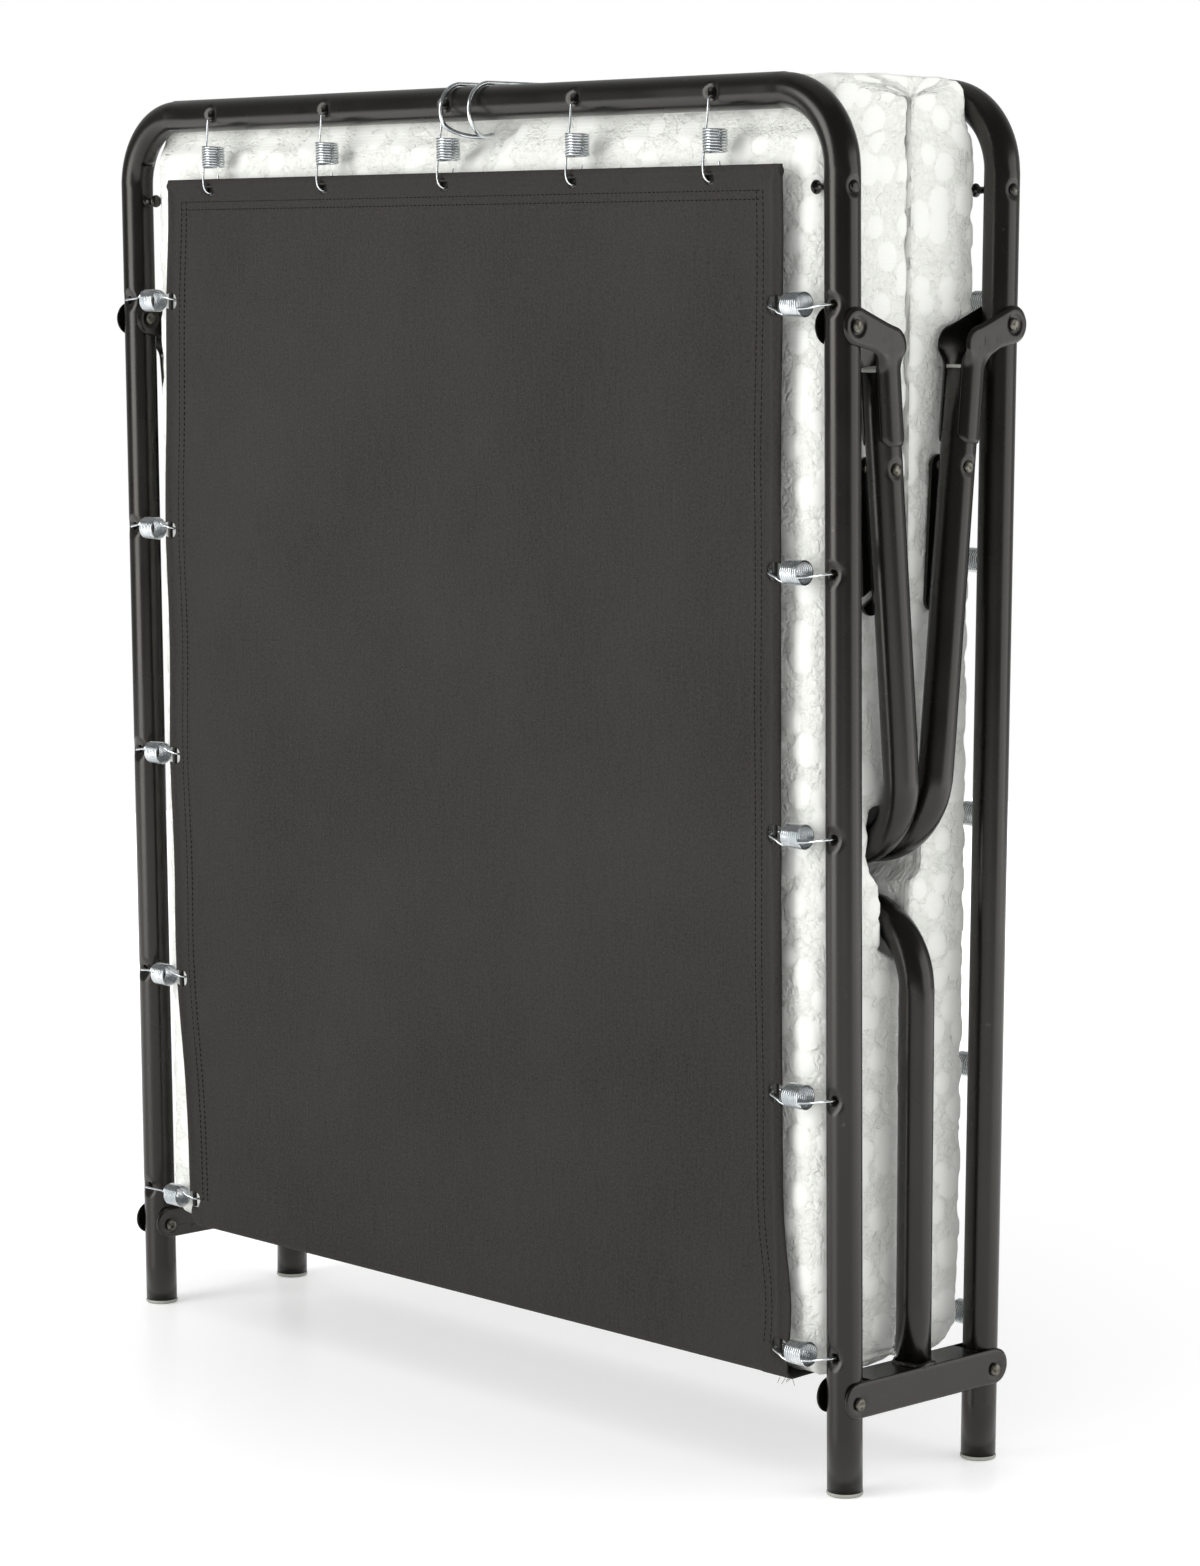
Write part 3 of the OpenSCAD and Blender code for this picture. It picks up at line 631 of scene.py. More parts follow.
def new_tree(name, inputs):
    """A geometry node tree with named inputs: (tree, its inputs' sockets, its output node)."""
    tree = bpy.data.node_groups.new(name, "GeometryNodeTree")
    tree.interface.new_socket("Geometry", in_out="INPUT", socket_type="NodeSocketGeometry")
    for label, kind in inputs.items():
        tree.interface.new_socket(label, in_out="INPUT", socket_type=kind)
    tree.interface.new_socket("Material", in_out="INPUT", socket_type="NodeSocketMaterial")
    tree.interface.new_socket("Geometry", in_out="OUTPUT", socket_type="NodeSocketGeometry")
    return tree, add(tree, "NodeGroupInput").outputs, add(tree, "NodeGroupOutput")


def grown(obj, tree, **values):
    """Runs a tree on an object, with its inputs set by their sockets' identifiers, and keeps the mesh."""
    modifier = obj.modifiers.new(tree.name, "NODES")
    modifier.node_group = tree
    for item in tree.interface.items_tree:
        if item.item_type == "SOCKET" and item.in_out == "INPUT" and item.name in values:
            modifier[item.identifier] = values[item.name]
    bake(obj)
    obj.data.shade_smooth()
    return obj


def finish_tree(tree, geometry, source, result):
    """Ends a tree: real geometry in place of instances, in the material that the tree was given."""
    whole = add(tree, "GeometryNodeRealizeInstances", {0: geometry})
    painted = add(tree, "GeometryNodeSetMaterial", {0: whole, "Material": source["Material"]})
    tree.links.new(painted.outputs[0], result.inputs[0])
    return tree


def wire_tree():
    """Round wire along every line of the mesh."""
    inputs = {"Radius": "NodeSocketFloat", "Sides": "NodeSocketInt"}
    tree, source, result = new_tree("round_wire", inputs)
    line = add(tree, "GeometryNodeMeshToCurve", {"Mesh": source["Geometry"]})
    ring = add(tree, "GeometryNodeCurvePrimitiveCircle", {"Resolution": source["Sides"],
                                                          "Radius": source["Radius"]})
    wire = add(tree, "GeometryNodeCurveToMesh", {"Curve": line, "Profile Curve": ring, "Fill Caps": True})
    return finish_tree(tree, wire, source, result)


def stitch_tree():
    """Floats of thread set along every line of the mesh, each lying along its line."""
    tree, source, result = new_tree("stitches", {"Spacing": "NodeSocketFloat", "Length": "NodeSocketFloat",
                                                 "Thread": "NodeSocketFloat"})
    line = add(tree, "GeometryNodeMeshToCurve", {"Mesh": source["Geometry"]})
    spots = add(tree, "GeometryNodeCurveToPoints", {"Curve": line, "Length": source["Spacing"]},
                mode="LENGTH").outputs
    thread = add(tree, "GeometryNodeMeshIcoSphere", {"Radius": 1.0, "Subdivisions": 1})
    thick = source["Thread"]
    size = add(tree, "ShaderNodeCombineXYZ", {0: thick, 1: thick, 2: source["Length"]})
    floats = add(tree, "GeometryNodeInstanceOnPoints", {"Points": spots["Points"], "Instance": thread,
                                                        "Rotation": spots["Rotation"], "Scale": size})
    return finish_tree(tree, floats, source, result)


def copies_tree():
    """A copy of a piece at every point of the mesh, turned by the point's attribute named turn."""
    tree, source, result = new_tree("copies", {"Piece": "NodeSocketObject"})
    shape = add(tree, "GeometryNodeObjectInfo", {"Object": source["Piece"]}).outputs["Geometry"]
    turn = add(tree, "GeometryNodeInputNamedAttribute", {"Name": "turn"}, data_type="FLOAT_VECTOR")
    copies = add(tree, "GeometryNodeInstanceOnPoints", {"Points": source["Geometry"], "Instance": shape,
                                                        "Rotation": turn})
    return finish_tree(tree, copies, source, result)


def quilt_tree():
    """Raises the quilted discs of the cover, and puckers the knit between them."""
    tree, source, result = new_tree("quilt", {"Disc rise": "NodeSocketFloat", "Pucker": "NodeSocketFloat"})
    where = add(tree, "GeometryNodeInputNamedAttribute", {"Name": "cover_place"}, data_type="FLOAT_VECTOR")
    disc = quilted_discs(tree, where)
    raised = add(tree, "ShaderNodeMath", {0: disc, 1: source["Disc rise"]}, operation="MULTIPLY")
    folds = add(tree, "ShaderNodeTexNoise", {"Vector": where, "Scale": 70.0, "Detail": 2.0})
    level = add(tree, "ShaderNodeMath", {0: folds, 1: 0.5}, operation="SUBTRACT")
    ground = add(tree, "ShaderNodeMath", {0: 1.15, 1: disc}, operation="SUBTRACT")
    share = add(tree, "ShaderNodeMath", {0: level, 1: ground}, operation="MULTIPLY")
    lift = add(tree, "ShaderNodeMath", {0: share, 1: source["Pucker"], 2: raised}, operation="MULTIPLY_ADD")
    normal = add(tree, "GeometryNodeInputNormal")
    shift = add(tree, "ShaderNodeVectorMath", {0: normal, "Scale": lift}, operation="SCALE")
    moved = add(tree, "GeometryNodeSetPosition", {"Geometry": source["Geometry"], "Offset": shift})
    return finish_tree(tree, moved, source, result)


def lines(name, paths):
    """A mesh of plain lines, one for each list of points."""
    verts, edges = [], []
    for path in paths:
        first = len(verts)
        verts += [tuple(point) for point in path]
        edges += [(first + i, first + i + 1) for i in range(len(path) - 1)]
    mesh = bpy.data.meshes.new(name)
    mesh.from_pydata(verts, edges, [])
    return linked(name, mesh)


def store_vectors(obj, name, vectors):
    """Stores a vector for each point of a mesh, as a named attribute."""
    store = obj.data.attributes.new(name, "FLOAT_VECTOR", "POINT")
    store.data.foreach_set("vector", [part for vector in vectors for part in vector])


def smooth_path(points, steps):
    """A smooth line through the points, with the given number of steps between neighbours."""
    line = []
    last = len(points) - 1
    for i in range(last):
        p0, p1, p2, p3 = (points[max(i - 1, 0)], points[i], points[i + 1], points[min(i + 2, last)])
        for k in range(steps):
            t = k / steps
            line.append(0.5 * (2 * p1 + (p2 - p0) * t + (2 * p0 - 5 * p1 + 4 * p2 - p3) * t * t
                               + (3 * p1 - p0 - 3 * p2 + p3) * t ** 3))
    line.append(points[-1])
    return line


WIRE = wire_tree()
STITCH = stitch_tree()
COPIES = copies_tree()
QUILT = quilt_tree()


# ---------------------------------------------------------------- sheets

SHEET_X = 0.342
SHEET_TOP = 0.8475
SHEET_HALF_T = 0.0006
CENTER_MID_Y = 0.083
CENTER_MID_Z = 0.0752
CENTER_BEND = 0.0092
PANEL_LOW = 0.030
ROD_LOW = 0.0262
ROD_TOP_LEFT, ROD_TOP_RIGHT = -0.318, 0.331
SEAM_INSETS = (0.0175, 0.0235)


def edge_pull(end, z):
    """How far the sheet's side edge lies outside its straight line, at a height along the post: it is
    drawn in below on the left and at the upper corner there, and flares a little on the right."""
    if end > 0:
        return 0.0075 * math.exp(-((z - 0.06) / 0.045) ** 2) + 0.004 * smoothstep(0.62, 0.86, z) - 0.0005
    return -0.013 * smoothstep(0.28, 0.0, z) - 0.011 * smoothstep(0.6, 0.87, z) - 0.002


def rod_pull(end, z):
    """How far the hem rod follows its edge: it is stiffer than the cloth."""
    if end > 0:
        return 0.35 * edge_pull(end, z)
    return edge_pull(end, z)


def spring_bay(z):
    """1 at the height of a spring on the posts and -1 midway between two."""
    return math.cos(2 * math.pi * (z - SPRING_RISE) / SPRING_PITCH)


def edge_x(end, z):
    """Half width of the sheet on one side, with the shallow bays between the springs."""
    return SHEET_X + edge_pull(end, z) + 0.0007 * spring_bay(z)


def spring_slots():
    """Slots in the hems, as (x, z, half width, half height)."""
    slots = [(end * (ROD_X + rod_pull(end, z) + 0.0005), z - 0.0005, 0.0075, 0.0065)
             for end in ENDS for z in SPRING_RISES]
    return slots + [(x + 0.0005, ROD_TOP - 0.0035, 0.0042, 0.0046) for x in TOP_SPRINGS]


SLOTS = spring_slots()


def cloth_distance(x, z):
    """Negative in the cloth and positive in a slot, whose shape lies between a box and an ellipse."""
    nearest = 1.0
    power = 2.6
    for slot_x, slot_z, half_w, half_h in SLOTS:
        dx, dz = abs(x - slot_x) / half_w, abs(z - slot_z) / half_h
        if dx < 4 and dz < 4:
            reach = (dx ** power + dz ** power) ** (1 / power)
            nearest = min(nearest, (reach - 1) * min(half_w, half_h))
    return -nearest


def panel_depth(x, z):
    """How far the stretched panel stands outward of its plane: long, shallow waves from the springs."""
    wave = noise.noise(Vector((x * 4.2, z * 2.6, 3.1))) * 0.0016
    pulled_band = 0.09
    from_edge = min(SHEET_X - abs(x), pulled_band)
    pull = 0.0006 * spring_bay(z) * (1 - from_edge / pulled_band) ** 2
    return (wave + pull) * smoothstep(SHEET_TOP, SHEET_TOP - 0.05, z)


def hem_bulge(x, z):
    """Half thickness added by the rods in the hems and by the turned-in cloth."""
    end = 1 if x > 0 else -1
    from_rod = min(abs(abs(x) - ROD_X - rod_pull(end, z)), abs(z - ROD_TOP))
    bulge = 0.0021 * math.exp(-(from_rod / 0.0032) ** 2)
    inset = min(SHEET_X - abs(x), SHEET_TOP - z)
    return bulge + 0.0004 * smoothstep(0.027, 0.0255, inset)


def sheet_path():
    """The front half's sheet seen from the side, from its top hem down and under the mattress to the
    middle, as (y, z, outward y, outward z, height in the half or below it) and its length."""
    place = half(FRONT)
    hem_low = SHEET_TOP - 0.014
    heights = [SHEET_TOP - 0.001 * i for i in range(14)]
    heights += [hem_low - 0.007 * i for i in range(int((hem_low - PANEL_LOW) / 0.007))]
    heights += [z + 0.001 * i for z in SPRING_RISES for i in range(-9, 10)]
    heights = sorted(set(round(z, 4) for z in heights if z > PANEL_LOW), reverse=True)
    rows = []
    for z in spaced(heights, 0.0008):
        point = place @ Vector((0, -SHEET_Y, z))
        rows.append((point.y, point.z, -math.cos(SPLAY), -math.sin(SPLAY), z))
    bend_y, bend_z = CENTER_BEND - CENTER_MID_Y, CENTER_MID_Z + CENTER_BEND
    spots = [(-CENTER_MID_Y, bend_z + 0.004)]
    for i in range(11):
        turn = math.pi / 2 * i / 10
        spots.append((bend_y - CENTER_BEND * math.cos(turn), bend_z - CENTER_BEND * math.sin(turn)))
    spots += [(bend_y * (1 - i / 10), CENTER_MID_Z) for i in range(1, 11)]
    run = SHEET_TOP - rows[-1][4]
    for i, spot in enumerate(spots):
        run += math.dist(rows[-1][:2], spot)
        turn = min(1.0, max(0.0, (i - 1) / 10)) * math.pi / 2
        rows.append(spot + (-math.cos(turn), -math.sin(turn), SHEET_TOP - run))
    return rows, run


def sheet_columns():
    """The upright lines of the sheet's mesh, closer together in the hems and at the top springs."""
    insets = [0.001 * i for i in range(17)] + [0.018, 0.0195, 0.021, 0.0225, 0.024, 0.0252, 0.0264, 0.030]
    insets += [0.030 + 0.0075 * i for i in range(1, 42)]
    columns = [end * (SHEET_X - inset) for end in ENDS for inset in insets]
    columns = [c for c in columns if all(abs(c - x) > 0.0075 for x in TOP_SPRINGS)]
    columns += [x + 0.001 * i for x in TOP_SPRINGS for i in range(-7, 8)]
    return spaced(sorted(columns), 0.0007)


def sheet(side):
    """The cloth of one half, from its top hem round under the mattress to the middle, with its slots."""
    rows, flat_long = sheet_path()
    grid = []
    for x in sheet_columns():
        end = 1 if x > 0 else -1
        pulled = smoothstep(0.12, 0.0, SHEET_X - abs(x))
        grid.append([(x + end * (edge_x(end, row[4]) - SHEET_X) * pulled, row[4]) for row in rows])

    def surface(face, x, z, j, rim):
        """The point of a face of the cloth at a place on it."""
        row_y, row_z, out_y, out_z, rise = rows[j]
        hem = hem_bulge(x, z) if rise > 0.02 else 0.0004 * (SHEET_X - abs(x) < 0.026)
        thick = (SHEET_HALF_T + hem) * (0.45 if rim else 1)
        off = face * thick + (panel_depth(x, z) if rise > PANEL_LOW else 0.0)
        slide = rise - z
        return Vector((x, row_y + slide * math.sin(SPLAY) + out_y * off,
                       row_z - slide * math.cos(SPLAY) + out_z * off))
    verts, faces = cut_shell(grid, cloth_distance, 0.0002, surface)
    if side == BACK:
        verts = [Vector((v.x, -v.y, v.z)) for v in verts]
    else:
        faces = [list(reversed(face)) for face in faces]
    name = NAMES[side]
    cloth = piece(name + "_cloth", verts, faces, SHEETING)
    store_vectors(cloth, "cloth_place", [cloth_place(v) for v in verts])
    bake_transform(cloth)
    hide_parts(name + "_sheet")
    if side == FRONT:
        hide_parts("sheet_center")


def cloth_place(vert):
    """Where a point lies on the flat cloth, for the weave to follow."""
    under = 0
    if vert.z < CENTER_MID_Z + CENTER_BEND:
        under = max(CENTER_MID_Y - abs(vert.y), 0)
    return vert.x, 0.0, vert.z - under


def hem_rods(side):
    """The three steel rods in the hems of one half, each following its edge of the cloth."""
    top = ROD_TOP - 0.010
    heights = [ROD_LOW + (top - ROD_LOW) * i / 40 for i in range(41)]
    paths = [[Vector((end * (ROD_X + rod_pull(end, z)), -SHEET_Y - panel_depth(end * ROD_X, z), z))
              for z in heights] for end in ENDS]
    paths.append([Vector((x, -SHEET_Y, ROD_TOP)) for x in (ROD_TOP_LEFT, 0, ROD_TOP_RIGHT)])
    name = NAMES[side]
    rods = lines(name + "_rods", paths)
    rods.data.transform(half(side))
    grown(rods, WIRE, Radius=0.0019, Sides=16, Material=ROD)
    dress(rods, name + "_half", "black_steel", name + "_hem_rods")


def hem_lining(side):
    """The hem's turned-in layer, which shows dark through the holes along the top."""
    steps = 60
    sections = []
    for i in range(steps + 1):
        x = ROD_TOP_LEFT * (1 - 2 * i / steps)
        y = 0.0002 * math.sin(90 * x) - SHEET_Y
        sections.append([Vector((x, y + 0.0030, 0.8360)), Vector((x, y + 0.0036, 0.8362)),
                         Vector((x, y + 0.0036, 0.8452)), Vector((x, y + 0.0030, 0.8454))])
    verts, faces = through_rings(sections)
    name = NAMES[side]
    lining = piece(name + "_hem_lining", verts, faces, SHEETING, half(side), smooth=False)
    store_vectors(lining, "cloth_place", [(v.x, 0.0, v.z) for v in verts])
    dress(lining, name + "_half", "woven_sheet")


def frayed_threads():
    """Loose threads at the lower corners of the cut edge, under the cloth's fold."""
    chance = random.Random(11)
    threads = []
    bends = (0, 0.25, 0.5, 0.75, 1)
    for end in ENDS:
        for _ in range(6):
            root = Vector((end * chance.uniform(0.333, 0.342), -chance.uniform(0.060, 0.079), 0.0749))
            lean = Vector((end * chance.uniform(-0.3, 1.2), chance.uniform(-0.9, 0.4), -0.6)).normalized()
            curl = Vector((chance.uniform(-1, 1), chance.uniform(-1, 1), chance.uniform(-0.4, 0.8)))
            length = chance.uniform(0.004, 0.011)
            threads.append([root + lean * length * t + curl * 0.003 * t * t for t in bends])
    loose = lines("frayed_threads", threads)
    grown(loose, WIRE, Radius=0.00018, Sides=5, Material=THREAD)
    dress(loose, "hinge_center", "woven_sheet")


def seam_point(x, z):
    """A point on the panel's outer face."""
    return Vector((x, -SHEET_Y - panel_depth(x, z) - SHEET_HALF_T - 0.0005, z))


def stitches(side):
    """Two rows of stitches along the hems, which cross at the upper corners."""
    low, high = 0.034, SHEET_TOP - 0.0185
    heights = [low + (high - low) * i / 120 for i in range(121)]
    reach = SHEET_X - 0.0195
    seams = []
    for inset in SEAM_INSETS:
        for end in ENDS:
            seams.append([seam_point(end * (edge_x(end, z) - inset), z) for z in heights])
        z = SHEET_TOP - inset
        seams.append([seam_point(reach * (i / 50 - 1) - edge_pull(-1, z) * smoothstep(20, 0, i), z)
                      for i in range(101)])
    name = NAMES[side]
    rows = lines(name + "_stitching", seams)
    rows.data.transform(half(side))
    grown(rows, STITCH, Spacing=0.0042, Length=0.00165, Thread=0.00034, Material=THREAD)
    dress(rows, name + "_half", "woven_sheet")


for side in (FRONT, BACK):
    hem_rods(side)
    hem_lining(side)
frayed_threads()


# ---------------------------------------------------------------- springs

COIL_TURNS = 8
COIL_MEAN_R = 0.0080
COIL_START, COIL_END = 0.0138, 0.0296
SPRING_WIRE_R = 0.00088
TURN_STEPS = 20


# Each spring's wire is set out in its own frame: u runs from the hem rod to the tube, v outward and w
# across. A hook is a list of (u, v, w) in millimetres, and an offset is the coil's axis as (v, w).
POST_OFFSET = (0.0014, 0.0)
POST_HEM_ANGLE, POST_TUBE_ANGLE = math.radians(60), math.radians(20)
POST_HEM_HOOK = [(4.8, -3.9, -1.6), (0.8, -4.1, -0.8), (-2.8, -3.1, 0.0), (-4.6, 0.0, 0.8),
                 (-3.0, 3.4, 1.6), (0.8, 4.6, 2.6), (4.6, 5.2, 3.6), (8.2, 5.5, 5.4)]
TOP_OFFSET = (0.0012, 0.0062)
TOP_HEM_ANGLE, TOP_TUBE_ANGLE = math.radians(-60), math.radians(-86)
TOP_HEM_HOOK = [(8.0, -4.4, 4.6), (3.0, -4.3, 4.2), (-2.2, -3.9, 3.0), (-5.4, -1.2, 1.4),
                (-5.8, 1.6, 0.2), (-3.2, 4.4, -0.8), (1.5, 5.6, -1.2), (6.2, 5.8, -0.9)]


def tube_hook(reach, offset, angle):
    """The straight wire from the coil's end to the tube, reach away, and the hook into its hole."""
    v = 1000 * (offset[0] + COIL_MEAN_R * math.cos(angle))
    w = 1000 * (offset[1] + COIL_MEAN_R * math.sin(angle))
    return [(30.4, v * 0.95, w), (33.0, v * 0.82, w * 0.92), (38.0, v * 0.55, w * 0.7),
            (reach - 5.0, v * 0.22 + 0.6, w * 0.2), (reach - 1.4, 0.5, 0.0), (reach, -2.4, 0.0),
            (reach + 0.2, -8.0, 0.0)]


def spring_line(hem_hook, hem_angle, tube_angle, offset, reach):
    """The wire of one spring: a hook, the coil, wound from one angle to the other, and a hook."""
    turning = -(2 * math.pi * COIL_TURNS + (hem_angle - tube_angle))
    steps = COIL_TURNS * TURN_STEPS
    coil = []
    for i in range(steps + 1):
        turn = hem_angle + turning * i / steps
        coil.append(Vector((COIL_START + (COIL_END - COIL_START) * i / steps,
                            offset[0] + COIL_MEAN_R * math.cos(turn),
                            offset[1] + COIL_MEAN_R * math.sin(turn))))
    lead = [Vector(p) / 1000 for p in hem_hook] + [coil[0]]
    tail = [coil[-1]] + [Vector(p) / 1000 for p in tube_hook(reach, offset, tube_angle)]
    return smooth_path(lead, 6)[:-1] + coil + smooth_path(tail, 6)[1:]


def spring_set(side):
    """Every spring of one half, as one piece of wire work."""
    paths = []
    place = half(side)
    for end in ENDS:
        for z in SPRING_RISES:
            pull = rod_pull(end, z)
            reach = 1000 * (POST_X - ROD_X - pull)
            line = spring_line(POST_HEM_HOOK, POST_HEM_ANGLE, POST_TUBE_ANGLE, POST_OFFSET, reach)
            origin = Vector((end * (ROD_X + pull), -SHEET_Y, z))
            paths.append([place @ (origin + Vector((end * p.x, -p.y, -end * p.z))) for p in line])
    reach = 1000 * (BAR_RISE - ROD_TOP) - 2.5
    line = spring_line(TOP_HEM_HOOK, TOP_HEM_ANGLE, TOP_TUBE_ANGLE, TOP_OFFSET, reach)
    for x in TOP_SPRINGS:
        origin = Vector((x, -SHEET_Y, ROD_TOP))
        paths.append([place @ (origin + Vector((p.z, -p.y, p.x))) for p in line])
    name = NAMES[side]
    springs = lines(name + "_spring_set", paths)
    grown(springs, WIRE, Radius=SPRING_WIRE_R, Sides=8, Material=ZINC)
    dress(springs, name + "_half", "zinc_wire", name + "_springs")


for side in (FRONT, BACK):
    spring_set(side)
    sheet(side)
    stitches(side)


# ---------------------------------------------------------------- latch

def latch():
    """One wire bent to a latch: two loops round the front bar that meet in a hairpin, and two arms
    that run back over the mattress and hook down behind the back bar."""
    half_gap, meeting, hairpin_half = 0.0155, 0.0105, 0.0011
    top = LATCH_Z + LATCH_R

    def round_bar(x, y, degrees):
        """A point on the loop round a bar, from 0 at its back over 90 at its top."""
        turn = math.radians(degrees)
        return Vector((LATCH_X + x, y + LATCH_R * math.cos(turn), LATCH_Z + LATCH_R * math.sin(turn)))
    arms = []
    for end in ENDS:
        x = end * half_gap
        arm = []
        for i in range(25):
            degrees = 292 - 202 * i / 24
            squeeze = smoothstep(205, 290, degrees)
            squeezed = x * (1 - squeeze) + (meeting + end * hairpin_half) * squeeze
            arm.append(round_bar(squeezed, -BAR_Y, degrees))
        arm += [Vector((LATCH_X + x, -BAR_Y + 2 * BAR_Y * i / 8, top)) for i in range(1, 9)]
        arm += [round_bar(x, BAR_Y, 90 - 90 * i / 12) for i in range(1, 13)]
        arm += [Vector((LATCH_X + x * 0.97, BAR_Y + LATCH_R, LATCH_Z - 0.005)),
                Vector((LATCH_X + x * 0.7, BAR_Y + LATCH_R, LATCH_Z - 0.009))]
        arms.append(arm)
    points = smooth_path(list(reversed(arms[0])) + arms[1], 3)
    points.append(points[0])
    wire = lines("latch_loop", [points])
    grown(wire, WIRE, Radius=0.0016, Sides=14, Material=ZINC)
    dress(wire, "latch", "zinc_wire", "latch_wire")


latch()


# ---------------------------------------------------------------- pressed plates

def smooth_min(a, b, blend):
    """The smaller of two distances, rounded off where they are about the same."""
    h = max(blend - abs(a - b), 0.0) / blend
    return min(a, b) - h * h * blend / 4


def pressed_plate(distance, outer, inner, low, high, place):
    """A pressed steel plate, set out in millimetres. distance(y, z) is negative inside its outline, and
    outer and inner give the x of its two faces."""
    grid = [[(y, z) for z in range(low[1], high[1] + 1)] for y in range(low[0], high[0] + 1)]

    def surface(face, y, z, _row, _rim):
        """The point of a face of the plate at a place on it."""
        return Vector(((outer if face > 0 else inner)(y, z), y, z)) / 1000
    verts, faces = cut_shell(grid, distance, 0.05, surface)
    return piece("plate", verts, faces, ENAMEL, place)


PLATE_IN, BRACKET_T = 13.0, 2.0
EAR_R, ARM_R = 13.0, 10.0
ARM = (34.0, -14.0)
SHELL_HALF, SHELL_HIGH, SHELL_LOW, SHELL_CORNER = 10.7, -12.0, -84.5, 7.0
SHELL_IN, SHELL_R = 12.6, 14.4


def bracket_distance(y, z):
    """Distance to a bracket plate's outline: the ear, the arm over the leg and the shell down it."""
    along = max(0.0, min(1.0, (y * ARM[0] + z * ARM[1]) / (ARM[0] ** 2 + ARM[1] ** 2)))
    ear = math.hypot(y - ARM[0] * along, z - ARM[1] * along) - (EAR_R + (ARM_R - EAR_R) * along)
    middle = (SHELL_LOW + SHELL_HIGH) / 2
    dy = abs(y - 1000 * LEG_OFFSET) - SHELL_HALF + SHELL_CORNER
    dz = abs(z - middle) - (SHELL_HIGH - SHELL_LOW) / 2 + SHELL_CORNER
    shell = math.hypot(max(dy, 0), max(dz, 0)) + min(max(dy, dz), 0) - SHELL_CORNER
    return smooth_min(ear, shell, 13.0)


def bracket_faces(seed):
    """The two faces of a bracket plate: flat round the pivot, half round on the leg, with a dished
    rivet seat, rolled edges and a few knocks."""
    knocks = random.Random(seed)
    marks = [(knocks.uniform(14, 34), knocks.uniform(-24, -6), knocks.uniform(1.2, 2.4)) for _ in range(4)]

    def round_x(y, radius):
        """The x of a half round on the leg tube."""
        return math.sqrt(max(radius ** 2 - (y - 1000 * LEG_OFFSET) ** 2, 1.0))

    def shell_share(z):
        """0 in the flat part round the pivot and 1 in the shell."""
        return smoothstep(-20.0, -34.0, z)

    def inner(y, z):
        """The x of the plate's inner face."""
        share = shell_share(z)
        return PLATE_IN * (1 - share) + round_x(y, SHELL_IN) * share

    def outer(y, z):
        """The x of the plate's outer face."""
        share = shell_share(z)
        x = (PLATE_IN + BRACKET_T) * (1 - share) + round_x(y, SHELL_R) * share
        edge = -bracket_distance(y, z)
        rolled_edge = 1.5 * smoothstep(2.6, 0.0, edge) * (1 - share * 0.4)
        above_arm = smoothstep(-2.0, 6.0, z + 0.41 * y) * (1 - share)
        bevel = 0.5 * smoothstep(7.0, 0.0, edge) * above_arm
        rivet_dish = 1.5 * smoothstep(8.6, 5.5, math.hypot(y, z))
        x -= rolled_edge + bevel + rivet_dish
        for mark_y, mark_z, size in marks:
            away = math.hypot(y - mark_y, (z - mark_z) * 0.5)
            x -= 0.35 * math.exp(-(away / size) ** 2)
        return max(x, inner(y, z) + 0.35)
    return outer, inner


def brackets(side):
    """The four bracket plates of one folding leg, an inner and an outer one at each end."""
    parts = []
    for end in ENDS:
        for face in (-1, 1):
            outer, inner = bracket_faces(3 * end + face + 10 * side)
            place = leg(side) @ Matrix.Translation((end * POST_X, 0, 0)) @ Matrix.Diagonal((face, 1, 1, 1))
            parts.append(pressed_plate(bracket_distance, outer, inner, (-15, -86), (48, 15), place))
    name = NAMES[side]
    dress(join(name + "_bracket_set", parts), name + "_leg", "black_steel", name + "_leg_brackets")


CHANNEL_T = 1.8
CHANNEL_R = 12.6
CHANNEL_END = 70.8
CHANNEL_MID = 68.9
WEB_REACH = 0.0565
WEB_T = 0.0018


def channel_distance(y, z):
    """Distance to a side plate of a hinge channel: a long plate with round ends."""
    end = max(abs(y) - CHANNEL_END, 0.0)
    return math.hypot(end, z - CHANNEL_MID) - CHANNEL_R


def channel_inner(_y, _z):
    """The flat inner face of a side plate."""
    return PLATE_IN


def channel_outer(y, z):
    """The outer face of a side plate: rolled at its edge, with a dished seat for each fold rivet."""
    rolled_edge = 0.9 * smoothstep(1.5, 0.0, -channel_distance(y, z))
    from_rivet = math.hypot(abs(y) - 1000 * FOLD_Y, z - 1000 * FOLD_Z)
    return PLATE_IN + CHANNEL_T - rolled_edge - 0.5 * smoothstep(8.0, 5.2, from_rivet)


def channel_web(place):
    """The flat top that joins the two side plates, with rounded edges."""
    half_w = (PLATE_IN + 0.9) / 1000
    corners = ((-half_w, WEB_TOP), (half_w, WEB_TOP), (half_w, WEB_TOP - WEB_T), (-half_w, WEB_TOP - WEB_T))
    steps = 24
    stations = [WEB_REACH * (2 * j / steps - 1) for j in range(steps + 1)]
    verts, faces = through_rings([[Vector((x, y, z)) for x, z in corners] for y in stations])
    web = piece("web", verts, faces, ENAMEL, place, smooth=False)
    edges = web.modifiers.new("edge", "BEVEL")
    edges.width = 0.0006
    edges.segments = 2
    return bake(web)


def channels():
    """The two hinge channels, each of two side plates and a web."""
    for end, label in zip(ENDS, ("left", "right")):
        place = Matrix.Translation((end * POST_X, 0, 0))
        parts = [pressed_plate(channel_distance, channel_outer, channel_inner, (-85, 54), (85, 84),
                               place @ Matrix.Diagonal((face, 1, 1, 1))) for face in (-1, 1)]
        whole = join("channel_" + label, parts + [channel_web(place)])
        dress(whole, "hinge_center", "black_steel", "hinge_channel_" + label)


for side in (FRONT, BACK):
    brackets(side)
channels()


# ---------------------------------------------------------------- rivets, caps and stays

